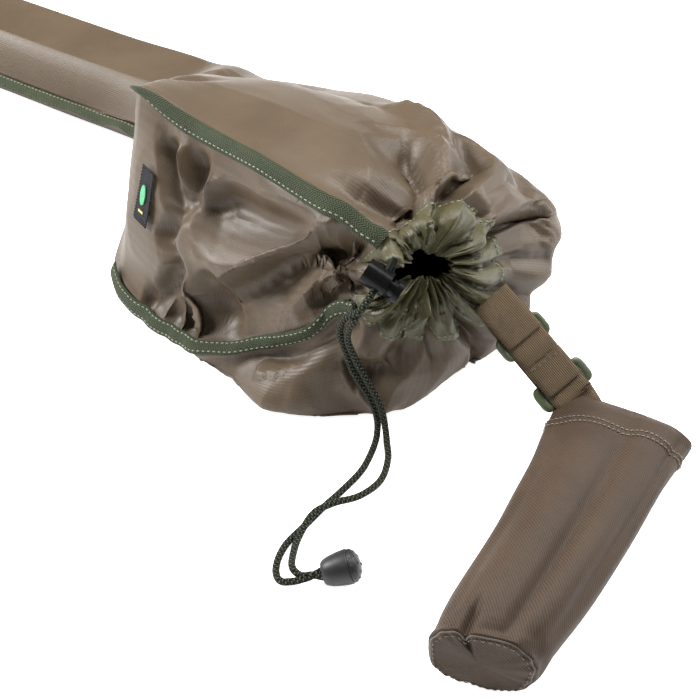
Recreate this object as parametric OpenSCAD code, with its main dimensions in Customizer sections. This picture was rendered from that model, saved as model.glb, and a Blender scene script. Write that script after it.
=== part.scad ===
/* [Sleeve] */
// Length of the straight sleeve behind the origin
sleeve_l = 1250; // [900:10:1500]
// Width of the sleeve tube as it lies
tube_w = 85; // [70:1:95]
// Height of the sleeve tube as it lies
tube_h = 56; // [46:1:60]
// Thickness of the lined fabric
fabric_t = 2; // [1:0.1:2.5]
/* [Bindings] */
// Width of the folded binding tape
tape_w = 10; // [8:1:12]
// Thickness of the folded binding tape
tape_t = 2.4; // [1.6:0.1:3]
/* [Drawcord] */
// Diameter of the braided drawcord
cord_d = 4; // [3:0.1:4]
// Diameter of the cord lock's barrel
lock_d = 15; // [14:0.5:16]
// Travel of the cord lock's button
button_travel = 4.3; // [3:0.1:4.4]
// Diameter of the bell toggle
toggle_d = 19; // [18:0.5:20]
/* [Strap] */
// Width of the strap webbing
web_w = 25; // [20:1:25]
// Thickness of the strap webbing
web_t = 1.5; // [1:0.1:1.6]
// Width of a slider across the strap
slider_w = 38; // [36:1:42]
// Diameter of a slider's cross bars
bar_d = 3.4; // [3:0.1:3.4]
/* [Butt pocket] */
// Flat width of the pocket at its opening
pocket_open_w = 78; // [72:1:80]
// Height of the pocket's opening as it lies
pocket_open_h = 26; // [22:1:28]
// Width of the pocket's closed end
pocket_end_w = 54; // [50:1:58]
// Height of the pocket's closed end
pocket_end_h = 44; // [40:1:46]

/* [Hidden] */
$fn = 48;

fabric_brown = [0.36, 0.30, 0.24];
casing_green = [0.36, 0.39, 0.25];
tape_green = [0.22, 0.27, 0.17];
webbing_tan = [0.43, 0.38, 0.27];
slider_green = [0.27, 0.31, 0.19];
plastic_black = [0.06, 0.06, 0.06];
cord_black = [0.10, 0.11, 0.08];

// ---- The bag's surface -------------------------------------------------------------
// Each ring is one section of the bag, from the closed tip to the gathered mouth hole. Its nine
// points are the upper seam, the top near the seam, the far top, the far fold, the far bottom, the
// bottom, the near bottom, the lower seam and the middle of the gusset.
tw = tube_w / 85;
th = tube_h / 56;
function tube_ring(x, near, far, top) =
    [[x, -near, 0.5 * top + 1], [x, -22, top], [x, 0.5 * far + 2, top - 1], [x, far, 0.5 * top],
     [x, 0.65 * far, -1], [x, 0, -2], [x, -22, -1], [x, -near, 0.5 * top - 1],
     [x, -near - 0.5, 0.5 * top]];
RINGS = [
    [for (p = tube_ring(-sleeve_l, 34, 34, 0)) [p.x, p.y * tw, 12 + 0.15 * (p.z + 1)
        + (p.z > 0 ? 2 : p.z < 0 ? -2 : 0)]],
    [for (p = tube_ring(25 - sleeve_l, 37, 38, 34)) [p.x, p.y * tw, p.z * th]],
    [for (p = tube_ring(70 - sleeve_l, 40, 45, 55)) [p.x, p.y * tw, p.z * th]],
    [for (p = tube_ring(-260, 40, 45, 56)) [p.x, p.y * tw, p.z * th]],
    [[-175, -48, 38], [-175, -22, 60], [-175, 18, 58], [-175, 44, 32], [-175, 28, -1],
     [-175, 0, -2], [-175, -26, 1], [-175, -48, 30], [-175, -48, 34]],
    [[-144, -90, 90], [-144, -48, 86], [-144, 4, 74], [-144, 42, 40], [-144, 28, -1],
     [-144, -20, -2], [-144, -70, 1], [-146, -108, 16], [-142, -102, 54]],
    [[-106, -126, 133], [-112, -80, 118], [-118, -18, 84], [-118, 41, 46], [-118, 28, 0],
     [-118, -40, -2], [-118, -110, 0], [-119, -160, 8], [-111, -146, 70]],
    [[-60, -131, 127], [-60, -84, 124], [-60, -24, 101], [-60, 42, 52], [-60, 30, 0],
     [-60, -60, -2], [-60, -150, 0], [-60, -184, 5], [-60, -170, 70]],
    [[0, -146, 132], [0, -98, 133], [0, -32, 113], [0, 42, 56], [0, 30, 0],
     [0, -70, -2], [0, -188, 0], [0, -192, 16], [0, -180, 78]],
    [[52, -158, 133], [56, -104, 136], [60, -40, 117], [66, 28, 44], [66, 24, 6],
     [64, -74, -2], [52, -203, 0], [50, -186, 46], [48, -184, 94]],
    [[78, -158, 126], [92, -112, 136], [108, -48, 112], [134, -28, 74], [132, -34, 24],
     [130, -100, 1], [96, -178, 4], [72, -180, 66], [66, -184, 98]],
    [[88, -157, 123], [98, -126, 131], [113, -84, 117], [136, -60, 84], [138, -70, 46],
     [136, -104, 26], [108, -170, 32], [82, -182, 72], [77, -180, 98]],
    [[95, -158, 117], [104, -136, 124], [117, -112, 112], [127, -104, 92], [128, -112, 74],
     [124, -130, 62], [108, -160, 62], [92, -176, 80], [88, -172, 98]],
    [[102, -150, 106], [106, -142, 110], [112, -134, 106], [116, -132, 98], [117, -134, 92],
     [115, -140, 87], [110, -148, 86], [104, -154, 91], [101, -154, 99]]];
UPPER_SEAM = 0;
FAR_FOLD = 3;
LOWER_SEAM = 7;
ROUND = 9;
TUBE_END = 3;
PANEL_END = 11.9;
MOUTH = 13;

// A smooth curve through p1 and p2 whose slopes never run far past the two points
function slope(a, b, d) = [for (i = [0:2]) let (m = (b[i] - a[i]) / 2, k = 1.5 * abs(d[i]))
    min(max(m, -k), k)];
function blend(p0, p1, p2, p3, t) =
    let (d = p2 - p1, m1 = slope(p0, p2, d), m2 = slope(p1, p3, d))
    (2 * t^3 - 3 * t^2 + 1) * p1 + (t^3 - 2 * t^2 + t) * m1
    + (3 * t^2 - 2 * t^3) * p2 + (t^3 - t^2) * m2;
function at(list, i) = list[min(max(i, 0), len(list) - 1)];
function along(list, t) =
    let (u = min(max(t, 0), len(list) - 1), i = min(floor(u), len(list) - 2))
    blend(at(list, i - 1), at(list, i), at(list, i + 1), at(list, i + 2), u - i);
function ring(s) = [for (j = [0:8]) along([for (r = RINGS) r[j]], s)];
function wrap(v) = v < 0 ? v + ROUND : v > ROUND ? v - ROUND : v;
// The point of a ring at v: seam to seam over the panels, then back over the gusset
function on_ring(r, v) = v <= LOWER_SEAM ? along([for (j = [0:7]) r[j]], v)
                                         : along([r[7], r[8], r[0]], v - LOWER_SEAM);
function unit(a) = a / norm(a);
EPS = 0.03;
function lift(p, n, off) = let (q = p + n * off) [q.x, q.y, max(q.z, off < 0 ? -off : 0)];

// A closed sheet on the bag's surface between two offsets from it, over the rings in S and the
// places round the ring in V
module sheet(S, V, out, inside) {
    rows = [for (s = S) let (r = ring(s), r0 = ring(max(s - EPS, 0)), r1 = ring(min(s + EPS, MOUTH)))
        [for (v = V) let (
            w = wrap(v),
            a = on_ring(r, max(w - EPS, w < LOWER_SEAM ? 0 : LOWER_SEAM)),
            b = on_ring(r, min(w + EPS, w < LOWER_SEAM ? LOWER_SEAM : ROUND)),
            n = unit(cross(on_ring(r1, w) - on_ring(r0, w), b - a)),
            p = on_ring(r, w))
            [lift(p, n, out), lift(p, n, inside)]]];
    block(rows);
}

// A closed solid from rows of [outer, inner] point pairs
module block(rows) {
    nu = len(rows);
    nv = len(rows[0]);
    pts = [for (k = [0, 1]) for (row = rows) for (c = row) c[k]];
    function id(k, i, j) = (k * nu + i) * nv + j;
    function quad(a, b, c, d) = [[a, b, c], [a, c, d]];
    faces = concat(
        [for (i = [0:nu - 2]) for (j = [0:nv - 2]) each
            quad(id(0, i, j), id(0, i, j + 1), id(0, i + 1, j + 1), id(0, i + 1, j))],
        [for (i = [0:nu - 2]) for (j = [0:nv - 2]) each
            quad(id(1, i, j), id(1, i + 1, j), id(1, i + 1, j + 1), id(1, i, j + 1))],
        [for (i = [0:nu - 2]) each concat(
            quad(id(0, i, 0), id(0, i + 1, 0), id(1, i + 1, 0), id(1, i, 0)),
            quad(id(0, i, nv - 1), id(1, i, nv - 1), id(1, i + 1, nv - 1), id(0, i + 1, nv - 1)))],
        [for (j = [0:nv - 2]) each concat(
            quad(id(0, 0, j), id(1, 0, j), id(1, 0, j + 1), id(0, 0, j + 1)),
            quad(id(0, nu - 1, j), id(0, nu - 1, j + 1), id(1, nu - 1, j + 1), id(1, nu - 1, j)))]);
    polyhedron(pts, faces, 6);
}

function steps(a, b, n) = [for (i = [0:n]) a + (b - a) * i / n];
TUBE_S = [0, 0.5, 1, 1.5, 2, 2.5, 3, 3.5];
POUCH_S = concat(steps(4, 7, 9), steps(7.5, 9, 3), steps(9.33, PANEL_END, 8));

module upper_panel() {
    color(fabric_brown)
    sheet(concat(TUBE_S, POUCH_S), steps(UPPER_SEAM, FAR_FOLD, 11), 0, -fabric_t);
}

module lower_panel() {
    color(fabric_brown)
    sheet(concat(TUBE_S, POUCH_S), steps(FAR_FOLD, LOWER_SEAM, 15), 0, -fabric_t);
}

module gusset() {
    color(fabric_brown)
    sheet(concat([TUBE_END, 3.5], POUCH_S), steps(LOWER_SEAM, ROUND, 8), 0, -fabric_t);
}

module upper_binding() {
    color(tape_green)
    sheet(concat(steps(5.6, 7, 5), steps(7.5, 11.4, 9)), steps(8.82, 8.99, 2), 0.1 + tape_t, 0.1);
}

module lower_binding() {
    color(tape_green)
    sheet(concat(steps(5.6, 7, 5), steps(7.5, 11.2, 9)), steps(7.02, 7.2, 2), 0.1 + tape_t, 0.1);
}

module tube_binding() {
    color(tape_green)
    block([for (s = concat([0.1], steps(0.5, 4.5, 8)))
        let (r = ring(s), e = r[8] - [0, 0.4, 0], d = [0, -tape_w, 0], t = [0, 0, tape_t / 2])
        [[e - t, e + t], [e + d - t, e + d + t]]]);
}

module tip_binding() {
    color(tape_green)
    translate([-sleeve_l - 5, -36 * tw, 7]) cube([4.9, 72 * tw, 11]);
}

module mouth_casing() {
    color(casing_green)
    sheet(steps(11.25, MOUTH, 5), steps(-0.72, 7.5, 33), 0.2 + tape_t, 0.2);
}

module side_label() {
    color(plastic_black) sheet(steps(6.38, 6.62, 2), steps(7.85, 8.35, 3), 1.2, 0.1);
}

// ---- Drawcord ----------------------------------------------------------------------
cord_r = cord_d / 2;
// The lock's frame: X runs the way the cords leave it and Z along its barrel
LOCK = [99, -177, 106];
lock_z = unit([0.9, 0.14, -0.41]);
lock_x = let (c = [-0.2, -0.78, -0.6]) unit(c - (c * lock_z) * lock_z);
// Turns that bring X and Z onto two square unit vectors
function turns(x, z) = let (y = cross(z, x)) [atan2(y.z, z.z), -asin(x.z), atan2(x.y, x.x)];
module lock_frame() { translate(LOCK) rotate(turns(lock_x, lock_z)) children(); }
function in_lock(p) = LOCK + p.x * lock_x + p.y * cross(lock_z, lock_x) + p.z * lock_z;

// A tube of eight sides along a route
module tube(route, r) {
    n = len(route);
    side = 8;
    function dir(i) = unit(at(route, i + 1) - at(route, i - 1));
    function ref(t) = abs(t.z) < 0.8 ? [0, 0, 1] : [0.6, 0.8, 0];
    // Each ring's first direction is the one before it, turned with the route
    function carry(i, u) = i == 0 ? let (t = dir(0)) unit(cross(cross(t, ref(t)), t))
        : let (t = dir(i)) unit(u - (u * t) * t);
    normals = [for (i = 0, u = carry(0, [0, 0, 0]); i < n; i = i + 1, u = i < n ? carry(i, u) : u) u];
    pts = [for (i = [0:n - 1]) let (t = dir(i), a = normals[i], b = cross(t, a))
        for (k = [0:side - 1]) route[i] + r * (a * cos(45 * k + 22.5) + b * sin(45 * k + 22.5))];
    faces = concat(
        [[for (k = [0:side - 1]) side - 1 - k]],
        [[for (k = [0:side - 1]) (n - 1) * side + k]],
        [for (i = [0:n - 2]) for (k = [0:side - 1]) let (k2 = (k + 1) % side)
            [i * side + k, i * side + k2, (i + 1) * side + k2, (i + 1) * side + k]]);
    polyhedron(pts, [for (f = faces) [for (j = [len(f) - 1:-1:0]) f[j]]], 6);
}

// A smooth route with a ring about every two and a half diameters
function smooth(pts, per) = [for (i = [0:per * (len(pts) - 1)]) along(pts, i / per)];

pair = cord_r + 0.15;
lock_front = lock_d / 2;
// Both strands leave the lock, fall down the front of the pouch and lie on the floor to the toggle
STRAND_A = [in_lock([lock_front, -pair, 0]), in_lock([lock_front + 12, -pair, 0]),
    [87, -194, 86], [82, -192, 72], [84, -189, 56], [88, -187, 40], [96, -184, 24],
    [102, -184, 11], [107, -191, 4], [111, -203, 2], [114, -219, 2], [113, -238, 2], [111, -254, 2],
    [110, -270, 2], [109, -287, 2], [113, -301, 2], [120, -308, 2.2], [127, -305, 3],
    [133, -299, 4.4]];
STRAND_B = [in_lock([lock_front, pair, 0]), in_lock([lock_front + 12, pair, 0]),
    [92, -194, 85], [87, -192, 70], [90, -189, 54], [96, -186, 38], [104, -184, 22],
    [109, -186, 9], [115, -193, 3], [122, -203, 2], [127, -219, 2], [124, -236, 3], [116, -251, 6],
    [111, -263, 6], [112, -278, 3], [117, -291, 4], [123, -300, 6.3], [129, -301, 5],
    [134, -297, 4.6]];

// The toggle's frame: Z runs from the cords' entry to the domed end
toggle_dir = unit([0.74, 0.63, 0.26]);
TOGGLE = [138, -294, 5.4];
toggle_side = unit([toggle_dir.y, -toggle_dir.x, 0]);
module toggle_frame() { translate(TOGGLE) rotate(turns(toggle_side, toggle_dir)) children(); }
function in_toggle(x, z) = TOGGLE + x * toggle_side + z * toggle_dir;

module drawcord_strand_a() {
    color(cord_black)
    tube(concat(smooth(STRAND_A, 1), [in_toggle(-pair, 0), in_toggle(-pair, 2.9)]), cord_r);
}

module drawcord_strand_b() {
    color(cord_black)
    tube(concat(smooth(STRAND_B, 1), [in_toggle(pair, 0), in_toggle(pair, 2.9)]), cord_r);
}

// The loop of cord in the casing, out through the gap at the gusset and through the lock
module drawcord_loop() {
    below = -0.3 - cord_r;
    route = concat(
        [in_lock([lock_front - 0.05, -pair, 0]), in_lock([0, -pair, 0]), in_lock([-lock_front, -pair, 0]),
         in_lock([-lock_front - 5, -pair, 0])],
        [for (v = concat(steps(8.6, 9, 1), steps(0.5, 7, 13))) let (p = on_ring(ring(12.35), v))
            p + below * mouth_out],
        [in_lock([-lock_front - 5, pair, 0]), in_lock([-lock_front, pair, 0]), in_lock([0, pair, 0]),
         in_lock([lock_front - 0.05, pair, 0])]);
    color(cord_black) tube(route, cord_r);
}
mouth_out = unit([0.5, -0.6, 0.6]);

// ---- Cord lock ---------------------------------------------------------------------
lock_bore = 10.4;
lock_low = -10;
lock_high = 5;
button_top = 13;
slot_w = 2 * cord_d + 0.7;
slot_h = cord_d + 0.4;

// The gap both cords pass through, as long as asked along the barrel
module cord_slot(low, high) {
    translate([-lock_d, -slot_w / 2, low]) cube([2 * lock_d, slot_w, high - low]);
}

module cord_lock_body() {
    color(plastic_black) lock_frame() difference() {
        translate([0, 0, lock_low]) cylinder(d = lock_d, h = lock_high - lock_low);
        translate([0, 0, lock_low + 1.2]) cylinder(d = lock_bore, h = 20);
        cord_slot(-slot_h / 2, slot_h / 2);
    }
}

module cord_lock_button() {
    color(plastic_black) lock_frame() difference() {
        union() {
            translate([0, 0, -3.4]) cylinder(d = lock_bore - 0.4, h = 3.4 + button_top);
            translate([0, 0, lock_high + button_travel + 0.2])
                cylinder(d = lock_d - 0.6, h = button_top - lock_high - button_travel - 0.2);
        }
        cord_slot(-slot_h / 2, slot_h / 2 + button_travel);
    }
}

module cord_lock_spring() {
    low = lock_low + 1.5;
    turns_n = 4;
    high = -3.7;
    wire = 0.35;
    color([0.7, 0.7, 0.7]) lock_frame()
    tube([for (i = [0:12 * turns_n]) let (a = 30 * i)
        [3.6 * cos(a), 3.6 * sin(a), low + wire + (high - low - 2 * wire) * i / (12 * turns_n)]], wire);
}

// ---- Bell toggle -------------------------------------------------------------------
toggle_r = toggle_d / 2;
bell_h = 15;

module toggle_bell() {
    color(plastic_black) toggle_frame() difference() {
        rotate_extrude() polygon([[0, 0], [5.4, 0], [6, 1.2], [7.4, 6], [toggle_r - 0.6, 11],
            [toggle_r, bell_h], [6.6, bell_h], [6.6, 3], [0, 3]]);
        translate([-cord_d - 0.4, -cord_r - 0.2, -1]) cube([2 * cord_d + 0.8, cord_d + 0.4, 6]);
    }
}

module toggle_plug() {
    color(plastic_black) toggle_frame() rotate_extrude()
        polygon(concat([[0, bell_h - 3], [6.4, bell_h - 3], [6.4, bell_h]],
            [for (a = [0:15:90]) [(toggle_r - 0.4) * cos(a), bell_h + 6 * sin(a)]]));
}

module cord_knot() {
    color(cord_black) toggle_frame() translate([0, 0, 7.5]) sphere(r = 4.4);
}

// ---- Strap and sliders ---------------------------------------------------------------
// The strap's frame: X runs down the strap from the casing, Y across it and Z out of its face
STRAP = [136, -112, 63];
strap_x = unit([0.83, -0.11, -0.55]);
strap_z = let (c = [0.43, -0.5, 0.75]) unit(c - (c * strap_x) * strap_x);
module strap_frame() { translate(STRAP) rotate(turns(strap_x, strap_z)) children(); }
function in_strap(p) = STRAP + p.x * strap_x + p.y * cross(strap_z, strap_x) + p.z * strap_z;

bar_gap = 14.5;
slider_a_x = 20;
slider_b_x = 56;
loop_in = bar_d / 2 + 0.35;
loop_out = loop_in + web_t;

// Webbing doubled round a bar at each end asked for
module web_loop(x0, x1, turn0, turn1) {
    rotate([90, 0, 0]) translate([0, 0, -web_w / 2]) linear_extrude(web_w) difference() {
        union() {
            translate([x0, -loop_out]) square([x1 - x0, 2 * loop_out]);
            if (turn0) translate([x0, 0]) circle(r = loop_out);
            if (turn1) translate([x1, 0]) circle(r = loop_out);
        }
        translate([x0 - (turn0 ? 0 : 1), -loop_in]) square([x1 - x0 + (turn0 ? 0 : 1), 2 * loop_in]);
        if (turn0) translate([x0, 0]) circle(r = loop_in);
        if (turn1) translate([x1, 0]) circle(r = loop_in);
    }
}

// A slider: two round end bars, a flat centre bar and two side rails
module slider(x) {
    rail = (slider_w - web_w - 1.2) / 2;
    inner = web_w / 2 + 0.6;
    translate([x, 0, 0]) {
        for (b = [0, bar_gap]) translate([b, inner + 0.5, 0]) rotate([90, 0, 0])
            cylinder(d = bar_d, h = 2 * inner + 1);
        translate([bar_gap / 2 - 1, -inner - 0.5, -bar_d / 2]) cube([2, 2 * inner + 1, bar_d]);
        for (m = [0, 1]) mirror([0, m, 0]) translate([-bar_d / 2, inner, -bar_d / 2])
            cube([bar_gap + bar_d, rail, bar_d]);
    }
}

// The upper strap is sewn down as a flat tab, and opens into a loop round the first slider's bar
module strap_upper() {
    tab = 9;
    color(webbing_tan) strap_frame() {
        web_loop(tab, slider_a_x, false, true);
        rotate([90, 0, 0]) translate([0, 0, -web_w / 2]) linear_extrude(web_w) {
            circle(r = web_t);
            polygon([[0, web_t], [tab - 2, loop_out], [tab + 0.1, loop_out], [tab + 0.1, -loop_out],
                [tab - 2, -loop_out], [0, -web_t]]);
        }
    }
}

module slider_a() { color(slider_green) strap_frame() slider(slider_a_x); }

module strap_link() {
    color(webbing_tan) strap_frame() web_loop(slider_a_x + bar_gap, slider_b_x, true, true);
}

module slider_b() { color(slider_green) strap_frame() slider(slider_b_x); }

// A flat strip through a list of [centre, width direction, thickness direction]
module strip(list, w, t) {
    block([for (c = list) [for (m = [-0.5, 0.5])
        [c[0] + m * w * unit(c[1]) + t / 2 * unit(c[2]),
         c[0] + m * w * unit(c[1]) - t / 2 * unit(c[2])]]]);
}

module strap_lower() {
    bar = slider_b_x + bar_gap;
    tail = bar + loop_out + 1;
    y = cross(strap_z, strap_x);
    color(webbing_tan) {
        strap_frame() {
            web_loop(bar, bar + 2.6, true, false);
            translate([bar + 2.4, -web_w / 2, -loop_out]) cube([2, web_w, 2 * loop_out]);
        }
        strip([[in_strap([tail - 2, 0, 0]), y, strap_z], [in_strap([tail + 3, 0, 0]), y, strap_z],
               [[209, -127, 16], [0.8, 0.55, 0.24], [-0.1, -0.26, 1]],
               [[212, -137, 14], [0.96, 0.28, 0.08], [0, -0.1, 1]],
               [[213, -150, 13], [0.96, 0.28, 0], [0, 0, 1]]], web_w, 2 * web_t);
    }
}

// ---- Butt pocket -------------------------------------------------------------------
// The pocket's sections: [centre x, centre y, width, height], all across the same direction
across = unit([0.96, 0.28, 0]);
POCKET = [[227.5, -114, pocket_open_w, pocket_open_h],
          [228, -124, pocket_open_w, pocket_open_h + 2],
          [232, -160, pocket_open_w - 6, 34], [236, -215, 67, 42],
          [240, -275, pocket_end_w + 7, pocket_end_h + 2], [242, -306, pocket_end_w, pocket_end_h]];
function pocket_at(t) = along([for (p = POCKET) [p[0], p[1], 0]], t);
function pocket_size(t) = along([for (p = POCKET) [p[2], p[3], 0]], t);
function rounded(a, e) = sign(a) * pow(abs(a), e);
function pocket_point(t, a, inset) =
    let (c = pocket_at(t), k = pocket_size(t), hw = k.x / 2 - inset, hh = k.y / 2 - inset)
    c + across * hw * rounded(cos(a), 0.8) + [0, 0, max(k.y / 2 + hh * rounded(sin(a), 0.8), inset)];

// A closed ring of cloth round the pocket from t0 to t1
module pocket_wall(T, out, inside) {
    side = 32;
    n = len(T);
    pts = [for (k = [out, inside]) for (t = T) for (j = [0:side - 1])
        pocket_point(t, j * 360 / side, k)];
    function id(k, i, j) = (k * n + i) * side + j % side;
    faces = concat(
        [for (i = [0:n - 2]) for (j = [0:side - 1])
            [id(0, i, j), id(0, i + 1, j), id(0, i + 1, j + 1), id(0, i, j + 1)]],
        [for (i = [0:n - 2]) for (j = [0:side - 1])
            [id(1, i, j), id(1, i, j + 1), id(1, i + 1, j + 1), id(1, i + 1, j)]],
        [for (j = [0:side - 1]) [id(0, 0, j), id(0, 0, j + 1), id(1, 0, j + 1), id(1, 0, j)]],
        [for (j = [0:side - 1])
            [id(0, n - 1, j), id(1, n - 1, j), id(1, n - 1, j + 1), id(0, n - 1, j + 1)]]);
    polyhedron(pts, [for (f = faces) each [[f[0], f[1], f[2]], [f[0], f[2], f[3]]]], 6);
}

module butt_pocket() { color(fabric_brown) pocket_wall(steps(0, 5, 15), 0, fabric_t); }

module pocket_hem() {
    color(fabric_brown) pocket_wall(steps(0.1, 1.3, 3), fabric_t + 0.1, fabric_t + 1.1);
}

module pocket_end() {
    side = 32;
    rim = [for (j = [0:side - 1]) pocket_point(5, j * 360 / side, 0.2)];
    push = [0.28, -0.96, 0];
    pts = concat([for (p = rim) p + 0.05 * push], [for (p = rim) p + 2 * push]);
    color(fabric_brown) polyhedron(pts, concat([[for (j = [side - 1:-1:0]) j]],
        [[for (j = [0:side - 1]) side + j]],
        [for (j = [0:side - 1]) let (k = (j + 1) % side) [j, k, side + k, side + j]]), 6);
}

upper_panel();
lower_panel();
gusset();
upper_binding();
lower_binding();
tube_binding();
tip_binding();
mouth_casing();
side_label();
drawcord_loop();
drawcord_strand_a();
drawcord_strand_b();
cord_lock_body();
cord_lock_button();
cord_lock_spring();
toggle_bell();
toggle_plug();
cord_knot();
strap_upper();
slider_a();
strap_link();
slider_b();
strap_lower();
butt_pocket();
pocket_hem();
pocket_end();
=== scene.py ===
"""A soft fishing rod case: the looks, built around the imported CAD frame."""
import math

import bpy
import numpy as np
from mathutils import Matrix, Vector
from mathutils.kdtree import KDTree


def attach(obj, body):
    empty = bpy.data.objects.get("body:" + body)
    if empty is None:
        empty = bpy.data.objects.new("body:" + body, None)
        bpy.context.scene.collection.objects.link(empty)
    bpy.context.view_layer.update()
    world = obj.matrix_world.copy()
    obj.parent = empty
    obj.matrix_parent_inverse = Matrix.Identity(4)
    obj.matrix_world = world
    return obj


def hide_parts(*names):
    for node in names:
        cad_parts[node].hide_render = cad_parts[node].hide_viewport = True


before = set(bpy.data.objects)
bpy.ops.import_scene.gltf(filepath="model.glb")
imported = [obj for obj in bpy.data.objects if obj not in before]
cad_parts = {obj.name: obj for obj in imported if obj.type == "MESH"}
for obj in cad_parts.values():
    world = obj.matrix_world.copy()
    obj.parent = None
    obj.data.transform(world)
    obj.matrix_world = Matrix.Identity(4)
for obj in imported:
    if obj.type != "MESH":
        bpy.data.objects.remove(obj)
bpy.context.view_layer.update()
MM = 0.001


# ---- Camera and stage ----------------------------------------------------------------
CAMERA_AT = (0.383, -0.645, 0.548)
CAMERA_AZIMUTH = 33
CAMERA_ELEVATION = 42
CAMERA_LENS = 66.9
POUCH = (0, -0.1, 0.05)
FLOOR_HALF = 6
FLOOR_GLOW, FLOOR_GLOW_SEEN = 0.5, 0.4
SKY = 0.19


def add_object(name, data):
    piece = bpy.data.objects.new(name, data)
    bpy.context.collection.objects.link(piece)
    return piece


def look_direction(azimuth, elevation):
    a, e = math.radians(azimuth), math.radians(elevation)
    return Vector((-math.sin(a) * math.cos(e), math.cos(a) * math.cos(e), -math.sin(e)))


def make_camera():
    data = bpy.data.cameras.new("camera")
    data.lens = CAMERA_LENS
    data.sensor_width = 36
    data.clip_start = 0.01
    camera = add_object("camera", data)
    camera.location = CAMERA_AT
    way = look_direction(CAMERA_AZIMUTH, CAMERA_ELEVATION)
    camera.rotation_euler = way.to_track_quat("-Z", "Y").to_euler()
    bpy.context.scene.camera = camera


def area_light(name, at, size, power):
    data = bpy.data.lights.new(name, "AREA")
    data.shape = "RECTANGLE"
    data.size, data.size_y = size
    data.energy = power
    light = add_object(name, data)
    light.location = at
    light.rotation_euler = (Vector(POUCH) - Vector(at)).to_track_quat("-Z", "Y").to_euler()


def make_stage():
    mesh = bpy.data.meshes.new("floor")
    corners = [(x * FLOOR_HALF, y * FLOOR_HALF, 0) for x, y in ((-1, -1), (1, -1), (1, 1), (-1, 1))]
    mesh.from_pydata(corners, [], [(0, 1, 2, 3)])
    floor = add_object("floor", mesh)
    floor.location.z = -0.5 * MM
    material = bpy.data.materials.new("floor")
    material.use_nodes = True
    shader = material.node_tree.nodes["Principled BSDF"]
    shader.inputs["Base Color"].default_value = (0.93, 0.93, 0.93, 1)
    shader.inputs["Roughness"].default_value = 0.9
    shader.inputs["Emission Color"].default_value = (1, 1, 1, 1)
    # The floor glows more for the camera than for the case on it, so its shadows are faint
    nodes, links = material.node_tree.nodes, material.node_tree.links
    glow = nodes.new("ShaderNodeMath")
    glow.operation = "MULTIPLY_ADD"
    links.new(nodes.new("ShaderNodeLightPath").outputs["Is Camera Ray"], glow.inputs[0])
    glow.inputs[1].default_value = FLOOR_GLOW_SEEN
    glow.inputs[2].default_value = FLOOR_GLOW
    links.new(glow.outputs[0], shader.inputs["Emission Strength"])
    mesh.materials.append(material)
    world = bpy.data.worlds.new("world")
    bpy.context.scene.world = world
    world.use_nodes = True
    background = world.node_tree.nodes["Background"]
    background.inputs["Color"].default_value = (1, 1, 1, 1)
    background.inputs["Strength"].default_value = SKY
    area_light("key", (0.1, 0.25, 1.35), (0.8, 0.6), 34)
    area_light("fill", (-1.85, -0.85, 1.35), (0.7, 0.7), 102)
    area_light("back", (0.9, 1.1, 0.8), (0.9, 0.5), 22)
    bpy.context.scene.view_settings.view_transform = "Standard"


make_camera()
make_stage()


# ---- Small numeric helpers -----------------------------------------------------------
def unit(a):
    a = np.asarray(a, float)
    return a / np.maximum(np.linalg.norm(a, axis=-1, keepdims=True), 1e-12)


def along(points, t):
    """Smooth curves through points[0], points[1], ... at the places t, as in the CAD model."""
    points = np.asarray(points, float)
    last = len(points) - 1
    t = np.clip(np.asarray(t, float), 0, last)
    i = np.minimum(np.floor(t).astype(int), last - 1)
    p0, p1 = points[np.maximum(i - 1, 0)], points[i]
    p2, p3 = points[i + 1], points[np.minimum(i + 2, last)]
    u = (t - i).reshape((-1,) + (1,) * (points.ndim - 1))
    d = p2 - p1
    limit = 1.5 * np.abs(d)
    m1 = np.clip((p2 - p0) / 2, -limit, limit)
    m2 = np.clip((p3 - p1) / 2, -limit, limit)
    return ((2 * u**3 - 3 * u**2 + 1) * p1 + (u**3 - 2 * u**2 + u) * m1
            + (3 * u**2 - 2 * u**3) * p2 + (u**3 - u**2) * m2)


def smoothstep(a, b, x):
    t = np.clip((np.asarray(x, float) - a) / (b - a), 0, 1)
    return t * t * (3 - 2 * t)


def hump(x, width):
    """A smooth hump, 1 at x = 0, that fades over the width."""
    return np.exp(-(x / width) ** 2)


def squarer(x, power):
    """The value with its size raised to a power: a circle's sines become a rounded box's."""
    return np.sign(x) * np.abs(x) ** power


def lift_off_floor(points, height=0.6 * MM):
    points[..., 2] = np.maximum(points[..., 2], height)
    return points


def make_mesh(name, points, faces, material):
    mesh = bpy.data.meshes.new(name)
    mesh.from_pydata([tuple(p) for p in np.asarray(points, float)], [], [tuple(f) for f in faces])
    mesh.update()
    mesh.polygons.foreach_set("use_smooth", [True] * len(mesh.polygons))
    mesh.materials.append(material)
    return add_object(name, mesh)


def put(piece, body, *stands_for):
    """The piece rides on the body and takes the place of the named CAD nodes."""
    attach(piece, body)
    if stands_for:
        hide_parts(*stands_for)
    return piece


def thicken(piece, thickness, offset=-1):
    thick = piece.modifiers.new("thick", "SOLIDIFY")
    thick.thickness, thick.offset = thickness, offset
    return piece


def ring_faces(first, rings, sides):
    """The faces between rings of points that follow one another from the first point's number."""
    faces = []
    for i in range(rings - 1):
        a, b = first + i * sides, first + (i + 1) * sides
        faces += [(a + k, a + (k + 1) % sides, b + (k + 1) % sides, b + k) for k in range(sides)]
    return faces


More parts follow.
